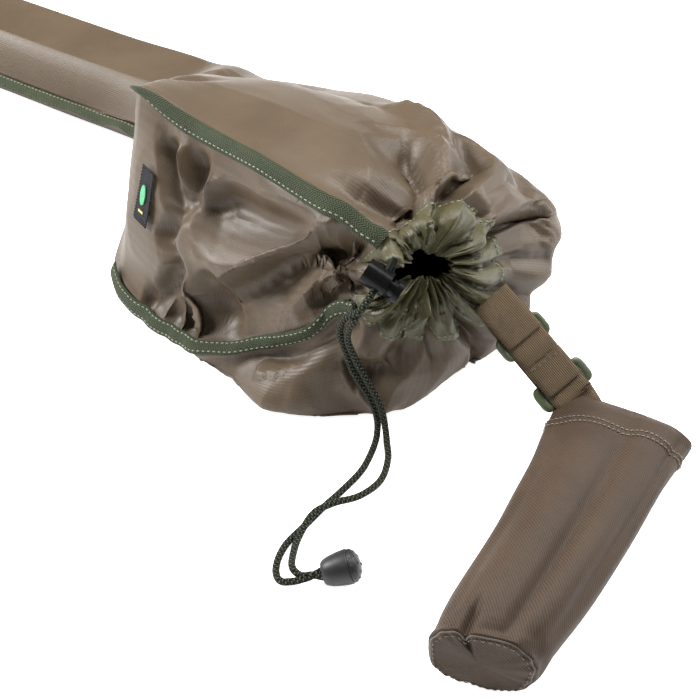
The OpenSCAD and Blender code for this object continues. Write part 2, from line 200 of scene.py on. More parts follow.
# ---- The bag's surface ---------------------------------------------------------------
# The CAD model's rings, from the sleeve's tip to the gathered mouth hole. Their nine points are the
# upper seam, the top near it, the far top, the far fold, the far bottom, the bottom, the near
# bottom, the lower seam and the middle of the gusset. A place on the bag is s, the ring, and v,
# the point, with fractions between them.
RINGS = MM * np.array([
    [(-1250, -34, 14), (-1250, -22, 14), (-1250, 19, 14), (-1250, 34, 14), (-1250, 22, 10),
     (-1250, 0, 10), (-1250, -22, 10), (-1250, -34, 12), (-1250, -34.5, 12)],
    [(-1225, -37, 18), (-1225, -22, 34), (-1225, 21, 33), (-1225, 38, 17), (-1225, 25, -1),
     (-1225, 0, -2), (-1225, -22, -1), (-1225, -37, 16), (-1225, -37.5, 17)],
    [(-1180, -40, 28.5), (-1180, -22, 55), (-1180, 24.5, 54), (-1180, 45, 27.5), (-1180, 29, -1),
     (-1180, 0, -2), (-1180, -22, -1), (-1180, -40, 26.5), (-1180, -40.5, 27.5)],
    [(-260, -40, 29), (-260, -22, 56), (-260, 24.5, 55), (-260, 45, 28), (-260, 29, -1),
     (-260, 0, -2), (-260, -22, -1), (-260, -40, 27), (-260, -40.5, 28)],
    [(-175, -48, 38), (-175, -22, 60), (-175, 18, 58), (-175, 44, 32), (-175, 28, -1),
     (-175, 0, -2), (-175, -26, 1), (-175, -48, 30), (-175, -48, 34)],
    [(-144, -90, 90), (-144, -48, 86), (-144, 4, 74), (-144, 42, 40), (-144, 28, -1),
     (-144, -20, -2), (-144, -70, 1), (-146, -108, 16), (-142, -102, 54)],
    [(-106, -126, 133), (-112, -80, 118), (-118, -18, 84), (-118, 41, 46), (-118, 28, 0),
     (-118, -40, -2), (-118, -110, 0), (-119, -160, 8), (-111, -146, 70)],
    [(-60, -131, 127), (-60, -84, 124), (-60, -24, 101), (-60, 42, 52), (-60, 30, 0),
     (-60, -60, -2), (-60, -150, 0), (-60, -184, 5), (-60, -170, 70)],
    [(0, -146, 132), (0, -98, 133), (0, -32, 113), (0, 42, 56), (0, 30, 0),
     (0, -70, -2), (0, -188, 0), (0, -192, 16), (0, -180, 78)],
    [(52, -158, 133), (56, -104, 136), (60, -40, 117), (66, 28, 44), (66, 24, 6),
     (64, -74, -2), (52, -203, 0), (50, -186, 46), (48, -184, 94)],
    [(78, -158, 126), (92, -112, 136), (108, -48, 112), (134, -28, 74), (132, -34, 24),
     (130, -100, 1), (96, -178, 4), (72, -180, 66), (66, -184, 98)],
    [(88, -157, 123), (98, -126, 131), (113, -84, 117), (136, -60, 84), (138, -70, 46),
     (136, -104, 26), (108, -170, 32), (82, -182, 72), (77, -180, 98)],
    [(95, -158, 117), (104, -136, 124), (117, -112, 112), (127, -104, 92), (128, -112, 74),
     (124, -130, 62), (108, -160, 62), (92, -176, 80), (88, -172, 98)],
    [(102, -150, 106), (106, -142, 110), (112, -134, 106), (116, -132, 98), (117, -134, 92),
     (115, -140, 87), (110, -148, 86), (104, -154, 91), (101, -154, 99)]], float)
UPPER_SEAM, FAR_FOLD, LOWER_SEAM, ROUND, MOUTH = 0, 3, 7, 9, 13


def surface(s, v):
    """The bag's surface at each ring place in s and each place v round it: (len(s), len(v), 3)."""
    rings = along(RINGS, s).transpose(1, 0, 2)
    v = np.mod(np.asarray(v, float), ROUND)
    panel = along(rings[:8], np.minimum(v, LOWER_SEAM))
    gusset = along(rings[[7, 8, 0]], np.maximum(v - LOWER_SEAM, 0))
    out = np.where((v <= LOWER_SEAM)[:, None, None], panel, gusset).transpose(1, 0, 2)
    return lift_off_floor(out, 0.4 * MM)


def even_places(low, high, step, measure):
    """Places from low to high about step apart by the path length that measure gives for a list."""
    fine = np.linspace(low, high, 1500)
    length = np.concatenate([[0], np.cumsum(measure(fine))])
    count = max(int(round(length[-1] / step)), 1)
    return np.interp(np.linspace(0, length[-1], count + 1), length, fine)


def grid_normals(p):
    """The normals of a grid that closes on itself along its second axis."""
    ds = np.gradient(p, axis=0)
    dv = np.roll(p, -1, 1) - np.roll(p, 1, 1)
    return unit(np.cross(ds, dv))


def outward(normal, p):
    """The normals turned, where they need it, away from the middle of their row of points."""
    return normal * np.sign((normal * (p - p.mean(1, keepdims=True))).sum(-1, keepdims=True))


# ---- Materials -----------------------------------------------------------------------
class Shade:
    """A material on one Principled shader, with short calls for its pattern nodes."""

    def __init__(self, name, rough, **constants):
        self.material = bpy.data.materials.new(name)
        self.material.use_nodes = True
        self.tree = self.material.node_tree
        self.shader = self.tree.nodes["Principled BSDF"]
        self.shader.inputs["Roughness"].default_value = rough
        for key, value in constants.items():
            self.shader.inputs[key.replace("_", " ")].default_value = value
        coord = self.tree.nodes.new("ShaderNodeTexCoord")
        self.place = coord.outputs["Object"]
        split = self.tree.nodes.new("ShaderNodeSeparateXYZ")
        self.link(coord.outputs["UV"], split.inputs[0])
        self.u, self.v = split.outputs[0], split.outputs[1]

    def link(self, a, b):
        self.tree.links.new(a, b)

    def math(self, kind, *terms):
        node = self.tree.nodes.new("ShaderNodeMath")
        node.operation = kind
        for socket, term in zip(node.inputs, terms):
            if isinstance(term, (int, float)):
                socket.default_value = term
            else:
                self.link(term, socket)
        return node.outputs[0]

    def add(self, a, b):
        return self.math("ADD", a, b)

    def times(self, a, b):
        return self.math("MULTIPLY", a, b)

    def wave(self, field, period):
        """A wave from 0 to 1 with that period in the field."""
        angle = self.times(field, 2 * math.pi / period)
        return self.math("MULTIPLY_ADD", self.math("SINE", angle), 0.5, 0.5)

    def noise(self, scale, detail=2.0, rough=0.55):
        node = self.tree.nodes.new("ShaderNodeTexNoise")
        node.inputs["Scale"].default_value = scale
        node.inputs["Detail"].default_value = detail
        node.inputs["Roughness"].default_value = rough
        self.link(self.place, node.inputs["Vector"])
        return node.outputs[0]

    def colour(self, field, *stops):
        """The base colour from a field, through stops of (place, colour)."""
        ramp = self.tree.nodes.new("ShaderNodeValToRGB")
        for end in (0, -1):
            ramp.color_ramp.elements[end].position = stops[end][0]
            ramp.color_ramp.elements[end].color = (*stops[end][1], 1)
        for place, shade in stops[1:-1]:
            ramp.color_ramp.elements.new(place).color = (*shade, 1)
        self.link(field, ramp.inputs[0])
        self.link(ramp.outputs[0], self.shader.inputs["Base Color"])
        return self

    def rough(self, field, low, high):
        self.link(self.math("MULTIPLY_ADD", field, high - low, low), self.shader.inputs["Roughness"])
        return self

    def bump(self, field, height, strength=1.0):
        node = self.tree.nodes.new("ShaderNodeBump")
        node.inputs["Distance"].default_value = height
        node.inputs["Strength"].default_value = strength
        self.link(field, node.inputs["Height"])
        normal = self.shader.inputs["Normal"]
        if normal.is_linked:
            self.link(normal.links[0].from_socket, node.inputs["Normal"])
        self.link(node.outputs[0], normal)
        return self


def tone(colour, k):
    return tuple(c * k for c in colour)


BROWN = (0.074, 0.0520, 0.0320)
POCKET_BROWN = (0.041, 0.0275, 0.0185)
SATIN_GREEN = (0.060, 0.054, 0.025)
TAPE_GREEN = (0.032, 0.040, 0.020)
TAN = (0.112, 0.075, 0.041)
ACETAL = (0.058, 0.072, 0.036)
THREAD = (0.17, 0.19, 0.12)


def fabric(name, colour, rough, period, sheen, gloss, twill=False):
    m = Shade(name, rough, Sheen_Weight=sheen, Sheen_Roughness=0.35, Specular_IOR_Level=gloss)
    m.shader.inputs["Sheen Tint"].default_value = (*tone(colour, 4.0), 1)
    if twill:
        weave = m.wave(m.add(m.u, m.v), period)
    else:
        weave = m.times(m.wave(m.u, period), m.wave(m.v, period))
    cloudy = m.noise(24, 3)
    fine = m.noise(900, 1)
    shade = m.add(m.add(m.times(cloudy, 0.5), m.times(fine, 0.32)),
                  m.times(weave, 0.34 if twill else 0.12))
    low, high = (0.60, 1.42) if twill else (0.80, 1.17)
    m.colour(shade, (0.3, tone(colour, low)), (0.5, colour), (0.72, tone(colour, high)))
    m.rough(cloudy, rough - 0.07, rough + 0.09)
    m.bump(m.noise(60, 2, 0.5), 0.0008, 0.22)
    m.bump(m.add(weave, m.times(fine, 1.5)), 0.00016, 0.5)
    return m.material


def tape(name, colour):
    m = Shade(name, 0.75, Sheen_Weight=0.02, Specular_IOR_Level=0.2)
    saw = m.math("FRACT", m.times(m.v, 260.0))
    zig = m.math("ABSOLUTE", m.math("SUBTRACT", saw, 0.5))
    bone = m.wave(m.add(m.u, m.times(zig, 0.0042)), 0.0017)
    rib = m.wave(m.v, 0.0011)
    shade = m.add(m.times(bone, 0.55), m.times(m.noise(60, 3), 0.45))
    m.colour(shade, (0.25, tone(colour, 0.55)), (0.55, colour), (0.8, tone(colour, 1.75)))
    m.bump(m.add(bone, m.times(rib, 0.4)), 0.0005, 0.9)
    return m.material


def webbing(name, colour):
    m = Shade(name, 0.7, Sheen_Weight=0.03, Specular_IOR_Level=0.2)
    rib_width = 0.00115
    rib = m.wave(m.v, rib_width)
    stagger = m.times(m.math("FLOOR", m.math("DIVIDE", m.v, rib_width)), 0.00045)
    pick = m.wave(m.add(m.u, stagger), 0.0012)
    worn = m.add(m.times(pick, 0.15), m.times(m.noise(70, 3), 0.35))
    shade = m.add(m.times(rib, 0.5), worn)
    m.colour(shade, (0.2, tone(colour, 0.42)), (0.5, tone(colour, 0.92)), (0.8, tone(colour, 1.4)))
    m.bump(m.add(rib, m.times(pick, 0.3)), 0.0006, 0.9)
    return m.material


def braid(name):
    m = Shade(name, 0.6, Specular_IOR_Level=0.12)
    turn = m.times(m.v, 4.0)
    run = m.math("DIVIDE", m.u, 0.0030)
    one = m.wave(m.add(run, turn), 1.0)
    two = m.wave(m.math("SUBTRACT", run, turn), 1.0)
    height = m.math("MAXIMUM", one, two)
    tracer = m.wave(m.math("SUBTRACT", m.times(run, 2.0), m.v), 1.0)
    fleck = m.times(m.math("GREATER_THAN", tracer, 0.80), m.math("GREATER_THAN", one, 0.45))
    shade = m.add(m.times(height, 0.42), m.times(fleck, 0.5))
    m.colour(shade, (0.1, (0.002, 0.003, 0.002)), (0.42, (0.009, 0.011, 0.006)),
             (0.95, (0.10, 0.11, 0.07)))
    m.bump(height, 0.0009, 1.0)
    return m.material


def plastic(name, colour, rough, gloss, grain):
    m = Shade(name, rough, Specular_IOR_Level=gloss)
    cloudy = m.noise(140, 4, 0.6)
    m.colour(cloudy, (0.3, tone(colour, 0.8)), (0.7, tone(colour, 1.2)))
    m.rough(m.noise(420, 2), rough - 0.08, rough + 0.12)
    m.bump(m.noise(1500, 2), 0.00008, grain)
    m.bump(m.noise(160, 2), 0.00025, 0.25)
    return m.material


def steel(name):
    m = Shade(name, 0.3, Metallic=1.0)
    m.colour(m.noise(900, 2), (0.3, (0.42, 0.41, 0.4)), (0.7, (0.62, 0.61, 0.6)))
    m.bump(m.noise(2500, 1), 0.00003, 0.5)
    return m.material


def thread(name, colour):
    m = Shade(name, 0.65, Sheen_Weight=0.3)
    m.colour(m.noise(700, 2), (0.3, tone(colour, 0.7)), (0.7, tone(colour, 1.2)))
    m.bump(m.noise(3000, 1), 0.0001, 0.6)
    return m.material


nylon = fabric("brown_nylon", BROWN, 0.46, 0.0013, 0.05, 0.28)
pocket_cloth = fabric("brown_pocket", POCKET_BROWN, 0.60, 0.0020, 0.02, 0.15, twill=True)
satin = fabric("green_nylon", SATIN_GREEN, 0.37, 0.0010, 0.03, 0.27)
tape_cloth = tape("green_tape", TAPE_GREEN)
strap_cloth = webbing("tan_webbing", TAN)
cord_braid = braid("braided_cord")
black = plastic("black_plastic", (0.004,) * 3, 0.24, 0.10, 0.15)
toggle_black = plastic("toggle_plastic", (0.014,) * 3, 0.42, 0.30, 0.3)
acetal = plastic("green_acetal", ACETAL, 0.38, 0.4, 0.5)
spring = steel("spring_steel")
label_black = tape("black_label", (0.012, 0.012, 0.014))
label_green = thread("label_green", (0.02, 0.30, 0.11))
label_gold = thread("label_gold", (0.55, 0.45, 0.12))
light_thread = thread("light_thread", THREAD)
dark_thread = thread("dark_thread", (0.05, 0.035, 0.022))
hem_thread = thread("hem_thread", (0.17, 0.125, 0.085))


def dress(node, material):
    """A CAD node whose shape is right gets a material of this script's own."""
    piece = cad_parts[node]
    for place in piece.material_slots:
        place.material = material
    return piece


# ---- Pieces from rows of points ------------------------------------------------------
def grid_piece(name, rows, uv, material, around=False, ends=False, flip=False):
    """A smooth piece from a grid of points and their places on the cloth."""
    rows = np.asarray(rows, float)
    n, m = rows.shape[:2]
    index = np.arange(n * m).reshape(n, m)
    last = m if around else m - 1
    faces, corners = [], []
    for i in range(n - 1):
        for j in range(last):
            k = (j + 1) % m
            face = [index[i, j], index[i, k], index[i + 1, k], index[i + 1, j]]
            place = [uv[i][j], uv[i][j + 1], uv[i + 1][j + 1], uv[i + 1][j]]
            faces.append(face[::-1] if flip else face)
            corners += place[::-1] if flip else place
    if ends:
        for i, way in ((0, -1), (n - 1, 1)):
            ring = list(index[i])[::way]
            faces.append(tuple(ring))
            corners += [uv[i][j] for j in list(range(m))[::way]]
    piece = make_mesh(name, rows.reshape(-1, 3), faces, material)
    layer = piece.data.uv_layers.new(name="UVMap")
    layer.data.foreach_set("uv", np.asarray(corners, float)[:, :2].reshape(-1))
    return piece


def path_length(path):
    """The length of a route up to each of its points."""
    path = np.asarray(path, float)
    return np.concatenate([[0], np.cumsum(np.linalg.norm(np.diff(path, axis=0), axis=1))])


def uv_grid(along_u, along_v):
    return [[(u, v) for v in along_v] for u in along_u]


def frames_along(path):
    """Two cross directions carried along a route without twist."""
    path = np.asarray(path, float)
    t = unit(np.gradient(path, axis=0))
    a = np.cross(t[0], (0, 0, 1.0) if abs(t[0][2]) < 0.9 else (1.0, 0, 0))
    sides = []
    for way in t:
        a = unit(a - way * (a @ way))
        sides.append(a)
    sides = np.array(sides)
    return sides, np.cross(t, sides)


def tube_piece(name, path, radius, material, sides=14):
    a, b = frames_along(path)
    turn = np.arange(sides) * 2 * np.pi / sides
    radius = np.broadcast_to(radius, len(path))
    rows = [p + r * (np.cos(turn)[:, None] * x + np.sin(turn)[:, None] * y)
            for p, r, x, y in zip(np.asarray(path, float), radius, a, b)]
    uv = uv_grid(path_length(path), np.arange(sides + 1) / sides)
    return grid_piece(name, rows, uv, material, around=True, ends=True)


def ribbon_piece(name, path, side, up, width, thick, material, crown=0.0):
    """A flat strip with soft edges along a route; side runs across it and up out of its face."""
    path, side, up = np.asarray(path, float), unit(side), unit(up)
    across = np.linspace(-1, 1, 9)
    half = 0.5 * np.sqrt(np.clip(1 - 0.85 * np.abs(across) ** 6, 0, 1))
    bulge = crown * (1 - across**2)
    shape = [(x, h + c) for x, h, c in zip(across, half, bulge / thick)]
    shape += [(x, -h + c) for x, h, c in zip(across[::-1], half[::-1], bulge[::-1] / thick)]
    width = np.broadcast_to(width, len(path))
    rows = [p + np.array([x * 0.5 * w * a + y * thick * n for x, y in shape])
            for p, a, n, w in zip(path, side, up, width)]
    run = path_length(path)
    uv = [[(u, x * 0.5 * w) for x, _ in shape + shape[:1]] for u, w in zip(run, width)]
    return grid_piece(name, rows, uv, material, around=True, ends=True)


def at_run(places, run, rows):
    """The rows of values at places along a route whose lengths so far are run."""
    rows = np.asarray(rows, float)
    return np.stack([np.interp(places, run, rows[:, k]) for k in range(rows.shape[1])], 1)


def resample(path, step, *others):
    """The route and anything given with it at even steps."""
    run = path_length(path)
    places = np.linspace(0, run[-1], max(int(round(run[-1] / step)), 1) + 1)
    return [at_run(places, run, rows) for rows in (path,) + others]


def stitch_row(name, path, up, material, length=0.0024, gap=0.0013, radius=0.00032):
    """A row of thread dashes that lie along a route."""
    path, up = resample(path, 0.0004, up)
    run = path_length(path)
    points, faces = [], []
    sides = 6
    turn = np.arange(sides) * 2 * np.pi / sides
    start = gap
    while start + length < run[-1]:
        at = start + length * np.array([0, 0.15, 0.5, 0.85, 1])
        c = at_run(at, run, path)
        n = unit(at_run(at, run, up))
        a = unit(np.cross(np.gradient(c, axis=0), n))
        lift = radius * np.array([-0.8, 0.3, 0.75, 0.3, -0.8])
        size = radius * np.array([0.5, 0.95, 1, 0.95, 0.5])
        first = len(points)
        for p, x, z, h, r in zip(c, a, n, lift, size):
            points += [p + z * h + r * (math.cos(t) * x * 1.25 + math.sin(t) * z) for t in turn]
        faces += ring_faces(first, len(at), sides)
        faces.append(tuple(first + k for k in range(sides - 1, -1, -1)))
        faces.append(tuple(len(points) - sides + k for k in range(sides)))
        start += length + gap
    return make_mesh(name, points, faces, material)


def catmull_rom(p, t):
    """Smooth rows through the rows p[0], p[1], ... at the places t."""
    last = len(p) - 1
    i = np.minimum(t.astype(int), last - 1)
    u = (t - i).reshape((-1,) + (1,) * (p.ndim - 1))
    a, b, c, d = p[np.maximum(i - 1, 0)], p[i], p[i + 1], p[np.minimum(i + 2, last)]
    return 0.5 * (2 * b + (c - a) * u + (2 * a - 5 * b + 4 * c - d) * u**2
                  + (3 * b - a - 3 * c + d) * u**3)


def curve_through(points, per=8):
    """A smooth route through points, with per places from each to the next."""
    p = np.asarray(points, float)
    padded = np.concatenate([[2 * p[0] - p[1]], p, [2 * p[-1] - p[-2]]])
    return catmull_rom(padded, 1 + np.arange(per * (len(p) - 1) + 1) / per)


# ---- Drawcord ------------------------------------------------------------------------
CORD_R = 2 * MM
PAIR = 2.15
LOCK = MM * np.array([99, -177, 106.0])
LOCK_Z = unit([0.9, 0.14, -0.41])
LOCK_X = np.array([-0.2, -0.78, -0.6])
LOCK_X = unit(LOCK_X - LOCK_Z * (LOCK_X @ LOCK_Z))
LOCK_Y = np.cross(LOCK_Z, LOCK_X)
TOGGLE = MM * np.array([138, -294, 5.4])
TOGGLE_DIR = unit([0.74, 0.63, 0.26])
TOGGLE_SIDE = unit([TOGGLE_DIR[1], -TOGGLE_DIR[0], 0])
TOGGLE_UP = np.cross(TOGGLE_DIR, TOGGLE_SIDE)
DOME_R, DOME_BASE, DOME_RISE = 9.1, 15.4, 5.6


def in_lock(x, y, z=0.0):
    return LOCK + MM * (x * LOCK_X + y * LOCK_Y + z * LOCK_Z)


def in_toggle(x, z):
    return TOGGLE + MM * (x * TOGGLE_SIDE + z * TOGGLE_DIR)


STRAND_A = [(87, -194, 86), (82, -192, 72), (84, -189, 56), (88, -187, 40), (96, -184, 24),
            (102, -184, 11), (107, -191, 4), (111, -203, 2), (114, -219, 2), (113, -238, 2),
            (111, -254, 2), (110, -270, 2), (109, -287, 2), (113, -301, 2), (120, -308, 2.2),
            (127, -305, 3), (133, -299, 4.4)]
STRAND_B = [(92, -194, 85), (87, -192, 70), (90, -189, 54), (96, -186, 38), (104, -184, 22),
            (109, -186, 9), (115, -193, 3), (122, -203, 2), (127, -219, 2), (124, -236, 3),
            (116, -251, 6), (111, -263, 6), (112, -278, 3), (117, -291, 4), (123, -300, 6.3),
            (129, -301, 5), (134, -297, 4.6)]


def make_strand(letter, points, beside):
    """One free strand, from the lock's bore to the knot in the toggle."""
    path = curve_through([in_lock(7.5, beside), in_lock(19.5, beside)]
                         + [MM * np.array(p, float) for p in points]
                         + [in_toggle(beside, 0), in_toggle(beside, 2.9)])
    path = lift_off_floor(path, CORD_R)
    piece = tube_piece("strand_" + letter, path, CORD_R, cord_braid)
    return put(piece, "bag", "drawcord_strand_" + letter), path


def lathe(name, profile, material, sides=56):
    """A turned piece on the toggle's axis from (radius, height) points, closed at both ends."""
    other = np.cross(TOGGLE_DIR, TOGGLE_SIDE)
    turn = np.arange(sides) * 2 * np.pi / sides
    ring = np.cos(turn)[:, None] * TOGGLE_SIDE + np.sin(turn)[:, None] * other
    rows = [TOGGLE + MM * (h * TOGGLE_DIR + r * ring) for r, h in profile]
    uv = uv_grid([MM * h for _, h in profile], np.arange(sides + 1) / sides)
    return grid_piece(name, rows, uv, material, around=True, ends=True)


def make_pips(name):
    """Rings of small moulded pips on the plug's dome, and the sprue's nub at its top."""
    points, faces = [], []
    sides, layers = 10, ((1, -0.3), (0.95, 0.1), (0.6, 0.42))
    for height, count in ((0.25, 14), (0.62, 10), (1.0, 6), (1.5, 1)):
        stagger = 0.5 * (height == 0.62)
        size = 1.1 if count == 1 else 0.62
        for k in range(count):
            t = 2 * math.pi * (k + stagger) / count
            spoke = math.cos(height) * (math.cos(t) * TOGGLE_SIDE + math.sin(t) * TOGGLE_UP)
            out = unit(spoke + 1.3 * math.sin(height) * TOGGLE_DIR)
            rise = DOME_BASE + DOME_RISE * math.sin(height)
            at = TOGGLE + MM * (rise * TOGGLE_DIR + DOME_R * spoke)
            a = unit(np.cross(out, (0.3, 0.2, 0.9)))
            b = np.cross(out, a)
            first = len(points)
            for r, h in layers:
                points += [at + MM * size * (r * (math.cos(q) * a + math.sin(q) * b) + h * out)
                           for q in np.arange(sides) * 2 * math.pi / sides]
            faces += ring_faces(first, len(layers), sides)
            faces.append(tuple(range(len(points) - sides, len(points))))
    return make_mesh(name, points, faces, toggle_black)


def make_toggle():
    outer = [(5.0, 0), (5.6, 0.1), (6.3, 0.6), (7.2, 2.0), (8.0, 4.2), (8.6, 7.0), (9.1, 10),
             (9.4, 12.6), (9.5, 14.2), (9.45, 14.8), (9.2, 15.0)]
    inner = [(6.7, 15.0), (6.6, 14), (6.6, 3.2), (5.0, 3.0), (4.9, 0.3)]
    dome = [(6.2, 12.2), (6.3, 14.9), (8.8, 15.05), (DOME_R, DOME_BASE)]
    dome += [(DOME_R * math.cos(a), DOME_BASE + DOME_RISE * math.sin(a))
             for a in np.linspace(0.12, 1.5, 12)]
    return [put(lathe("bell", outer + inner, toggle_black), "bag", "toggle_bell"),
            put(lathe("plug", dome, toggle_black), "bag", "toggle_plug"),
            put(make_pips("plug_pips"), "bag"), dress("cord_knot", cord_braid)]


def make_drawcord():
    held = make_toggle()
    for letter, points, beside, carried in (("a", STRAND_A, -PAIR, held),
                                            ("b", STRAND_B, PAIR, held[-1:])):
        strand, path = make_strand(letter, points, beside)


make_drawcord()


# ---- Cloth of the pouch --------------------------------------------------------------
CLOTH_STEP = 3.8 * MM
CLOTH_START = 2.8
CLOTH_TURNS = 45
CREASE_DEPTH = 2.6 * MM
CLOTH_T = 0.7 * MM

# Sewn-in folds of the pouch: places as (s, v), depth in mm, half width in mm, and for some how
# far they lean towards lower v. A depth below zero stands proud.
FOLDS = [
    ([(6.6, 8.65), (7.0, 8.22)], 11, 6), ([(7.15, 8.72), (7.12, 8.25)], 12, 6),
    ([(7.05, 8.2), (6.9, 7.9), (7.15, 7.7), (6.9, 7.25)], 8, 5),
    ([(6.85, 8.68), (7.03, 8.35)], -4, 5),
    ([(7.2, 8.2), (7.6, 8.42), (8.0, 8.42), (8.8, 8.45)], 14, 10, 0.55),
    ([(7.35, 7.85), (8.1, 8.0), (8.8, 8.3)], -5, 12),
    ([(7.85, 7.5), (8.7, 8.0), (9.5, 8.35), (10.9, 8.6)], 20, 12, 0.55),
    ([(8.4, 7.32), (9.2, 7.75), (10.2, 8.1)], -6, 12),
    ([(9.1, 7.4), (11.2, 7.6)], 10, 6),
    ([(7.5, 7.75), (7.85, 7.3)], 7, 7), ([(7.25, 7.6), (7.55, 7.2)], -4, 4),
    ([(6.75, 7.35), (6.8, 7.08)], 5, 3.5), ([(7.1, 7.4), (7.2, 7.08)], 5, 3.5),
    ([(7.35, 7.35), (7.45, 7.08)], 4, 3),
    ([(9.0, 0.3), (9.5, 0.3), (10.4, 0.45), (11.4, 0.45)], 9, 6),
    ([(8.85, 1.5), (9.2, 1.3), (10.0, 0.85), (11.5, 0.8)], 17, 8, 0.5),
    ([(9.0, 1.72), (9.7, 1.35), (11.2, 1.0)], -5, 5),
    ([(9.1, 1.95), (10.2, 1.62), (11.5, 1.3)], 13, 7, 0.5),
    ([(10.6, 1.5), (11.0, 1.6), (11.4, 1.75), (11.8, 2.4)], 6, 5),
    ([(10.1, 2.2), (11.2, 2.05)], 3, 8),
    ([(10.25, 2.98), (10.9, 2.85), (11.9, 2.75)], 14, 8, -0.4),
    ([(10.4, 3.5), (11.5, 3.6)], 5, 5), ([(10.2, 4.1), (11.7, 4.1)], 6, 7),
    ([(10.1, 5.2), (11.8, 5.15)], 8, 5), ([(10.0, 4.75), (11.6, 4.8)], -4, 9),
    ([(9.8, 6.5), (10.4, 6.35), (11.9, 5.9)], 9, 7), ([(9.7, 5.8), (11.4, 5.5)], -3, 10),
    ([(9.7, 6.5), (10.4, 5.9)], -4, 5),
    ([(8.3, 6.75), (9.3, 6.8), (11.3, 6.9)], 8, 6),
    ([(5.4, 0.4), (6.3, 1.2)], 4, 7), ([(5.0, 1.0), (5.7, 2.0)], 4, 8),
    ([(4.4, 0.3), (5.4, 0.8)], -3, 7), ([(4.9, 8.0), (5.6, 8.6)], 5, 7),
    ([(4.6, 7.6), (5.5, 7.4)], 4, 7), ([(6.8, 2.2), (8.2, 1.9)], 3, 16),
    ([(6.0, 6.95), (7.0, 7.0), (7.9, 6.96)], -5, 10), ([(7.4, 6.6), (8.1, 6.2), (9.0, 6.2)], -8, 11),
    ([(9.8, 3.1), (10.4, 3.4), (10.8, 3.9), (11.0, 4.5)], -8, 15),
    ([(8.2, 2.1), (8.6, 2.0), (9.1, 1.85), (9.6, 1.6)], -6, 7), ([(9.6, 2.2), (10.4, 2.5)], 5, 10),
    ([(8.8, 5.9), (9.8, 5.5), (10.6, 5.1)], 6, 9, 0.4),
]
PETALS = np.array([-0.72, -0.1, 0.35, 1.25, 2.3, 2.95, 3.5, 4.2, 4.7, 5.15, 5.65, 6.1, 6.6, 7.1, 7.6,
                   8.28])


def cloth_grid():
    s = even_places(CLOTH_START, MOUTH, CLOTH_STEP, lambda f: np.quantile(
        np.linalg.norm(np.diff(surface(f, np.linspace(0, 9, 46)), axis=0), axis=-1), 0.75, axis=1))
    v = [0.0]
    for a in range(ROUND):
        span = even_places(a, a + 1, CLOTH_STEP, lambda f: np.linalg.norm(
            np.diff(surface([8.5], f)[0], axis=0), axis=-1))
        v += list(span[1:])
    v = np.array(v[:-1])
    # The threads are settled in fours, so the count of columns is a multiple of four
    drop = np.linspace(10, len(v) - 10, len(v) % 4).astype(int)
    return s, np.delete(v, drop)


def segment_distance(p, a, b):
    ab = b - a
    t = np.clip(((p - a) @ ab) / (ab @ ab), 0, 1)
    return np.linalg.norm(p - a - t[..., None] * ab, axis=-1), t


def fold_depth(points, v_grid, near):
    """How far the folds push each point of the bag in."""
    depth = np.zeros(points.shape[:2])
    for places, amount, width, *lean in FOLDS:
        s, v = np.array(places, float).T
        knots = np.arange(len(s))
        s_fine, v_fine = (np.interp(np.linspace(0, len(s) - 1, 4 * len(s)), knots, q)
                          for q in (s, v))
        line = np.stack([surface([a], [b])[0, 0] for a, b in zip(s_fine, v_fine)])
        best = np.full(points.shape[:2], 9.0)
        side, taper = np.zeros_like(best), np.zeros_like(best)
        for k in range(len(line) - 1):
            d, t = segment_distance(points, line[k], line[k + 1])
            place = (k + t) / (len(line) - 1)
            nearer = d < best
            best = np.where(nearer, d, best)
            beyond = np.tanh((v_grid - np.interp(place * (len(v) - 1), knots, v)) / 0.06)
            side = np.where(nearer, beyond, side)
            fade = np.minimum(1, 4.0 * np.minimum(place + 0.06, 1.12 - place))
            taper = np.where(nearer, fade, taper)
        x = best / (width * MM) * (1 + (lean[0] if lean else 0) * side)
        form = np.clip(1 - x / 1.9, 0, 1) ** 1.15
        depth += 1.3 * amount * MM * taper * form * near
    return depth


def petal_wave(v):
    """From -1 in each valley between two petals to 1 at a petal's crest."""
    v = np.where(v > PETALS[-1], v - ROUND, v)
    place = np.interp(v, PETALS, np.arange(len(PETALS)))
    x = np.abs(place - np.round(place))
    return 0.7 - 2.0 * hump(x, 0.13) - 0.25 * np.cos(2 * np.pi * place)


def smooth_noise(shape, across, down, seed):
    """Smooth random values over a grid that closes on itself along its second axis."""
    noise = np.random.default_rng(seed).normal(size=shape)
    f0 = np.fft.fftfreq(shape[0])[:, None] * down
    f1 = np.fft.fftfreq(shape[1])[None, :] * across
    out = np.fft.ifft2(np.fft.fft2(noise) * np.exp(-(f0**2 + f1**2) * 2.5)).real
    return out / out.std()


# Which neighbours a thread ties, by rows and columns, and how hard it pulls when it is long and
# pushes when it is short. The long ones only stiffen the cloth against sharp bends.
THREADS = [(1, 0, 1.0, 0.9), (0, 1, 1.0, 0.9), (1, 1, 0.35, 0.3), (1, -1, 0.35, 0.3),
           (2, 0, 0.0, 0.06), (0, 2, 0.0, 0.06), (4, 0, 0.0, 0.02), (0, 4, 0.0, 0.02)]


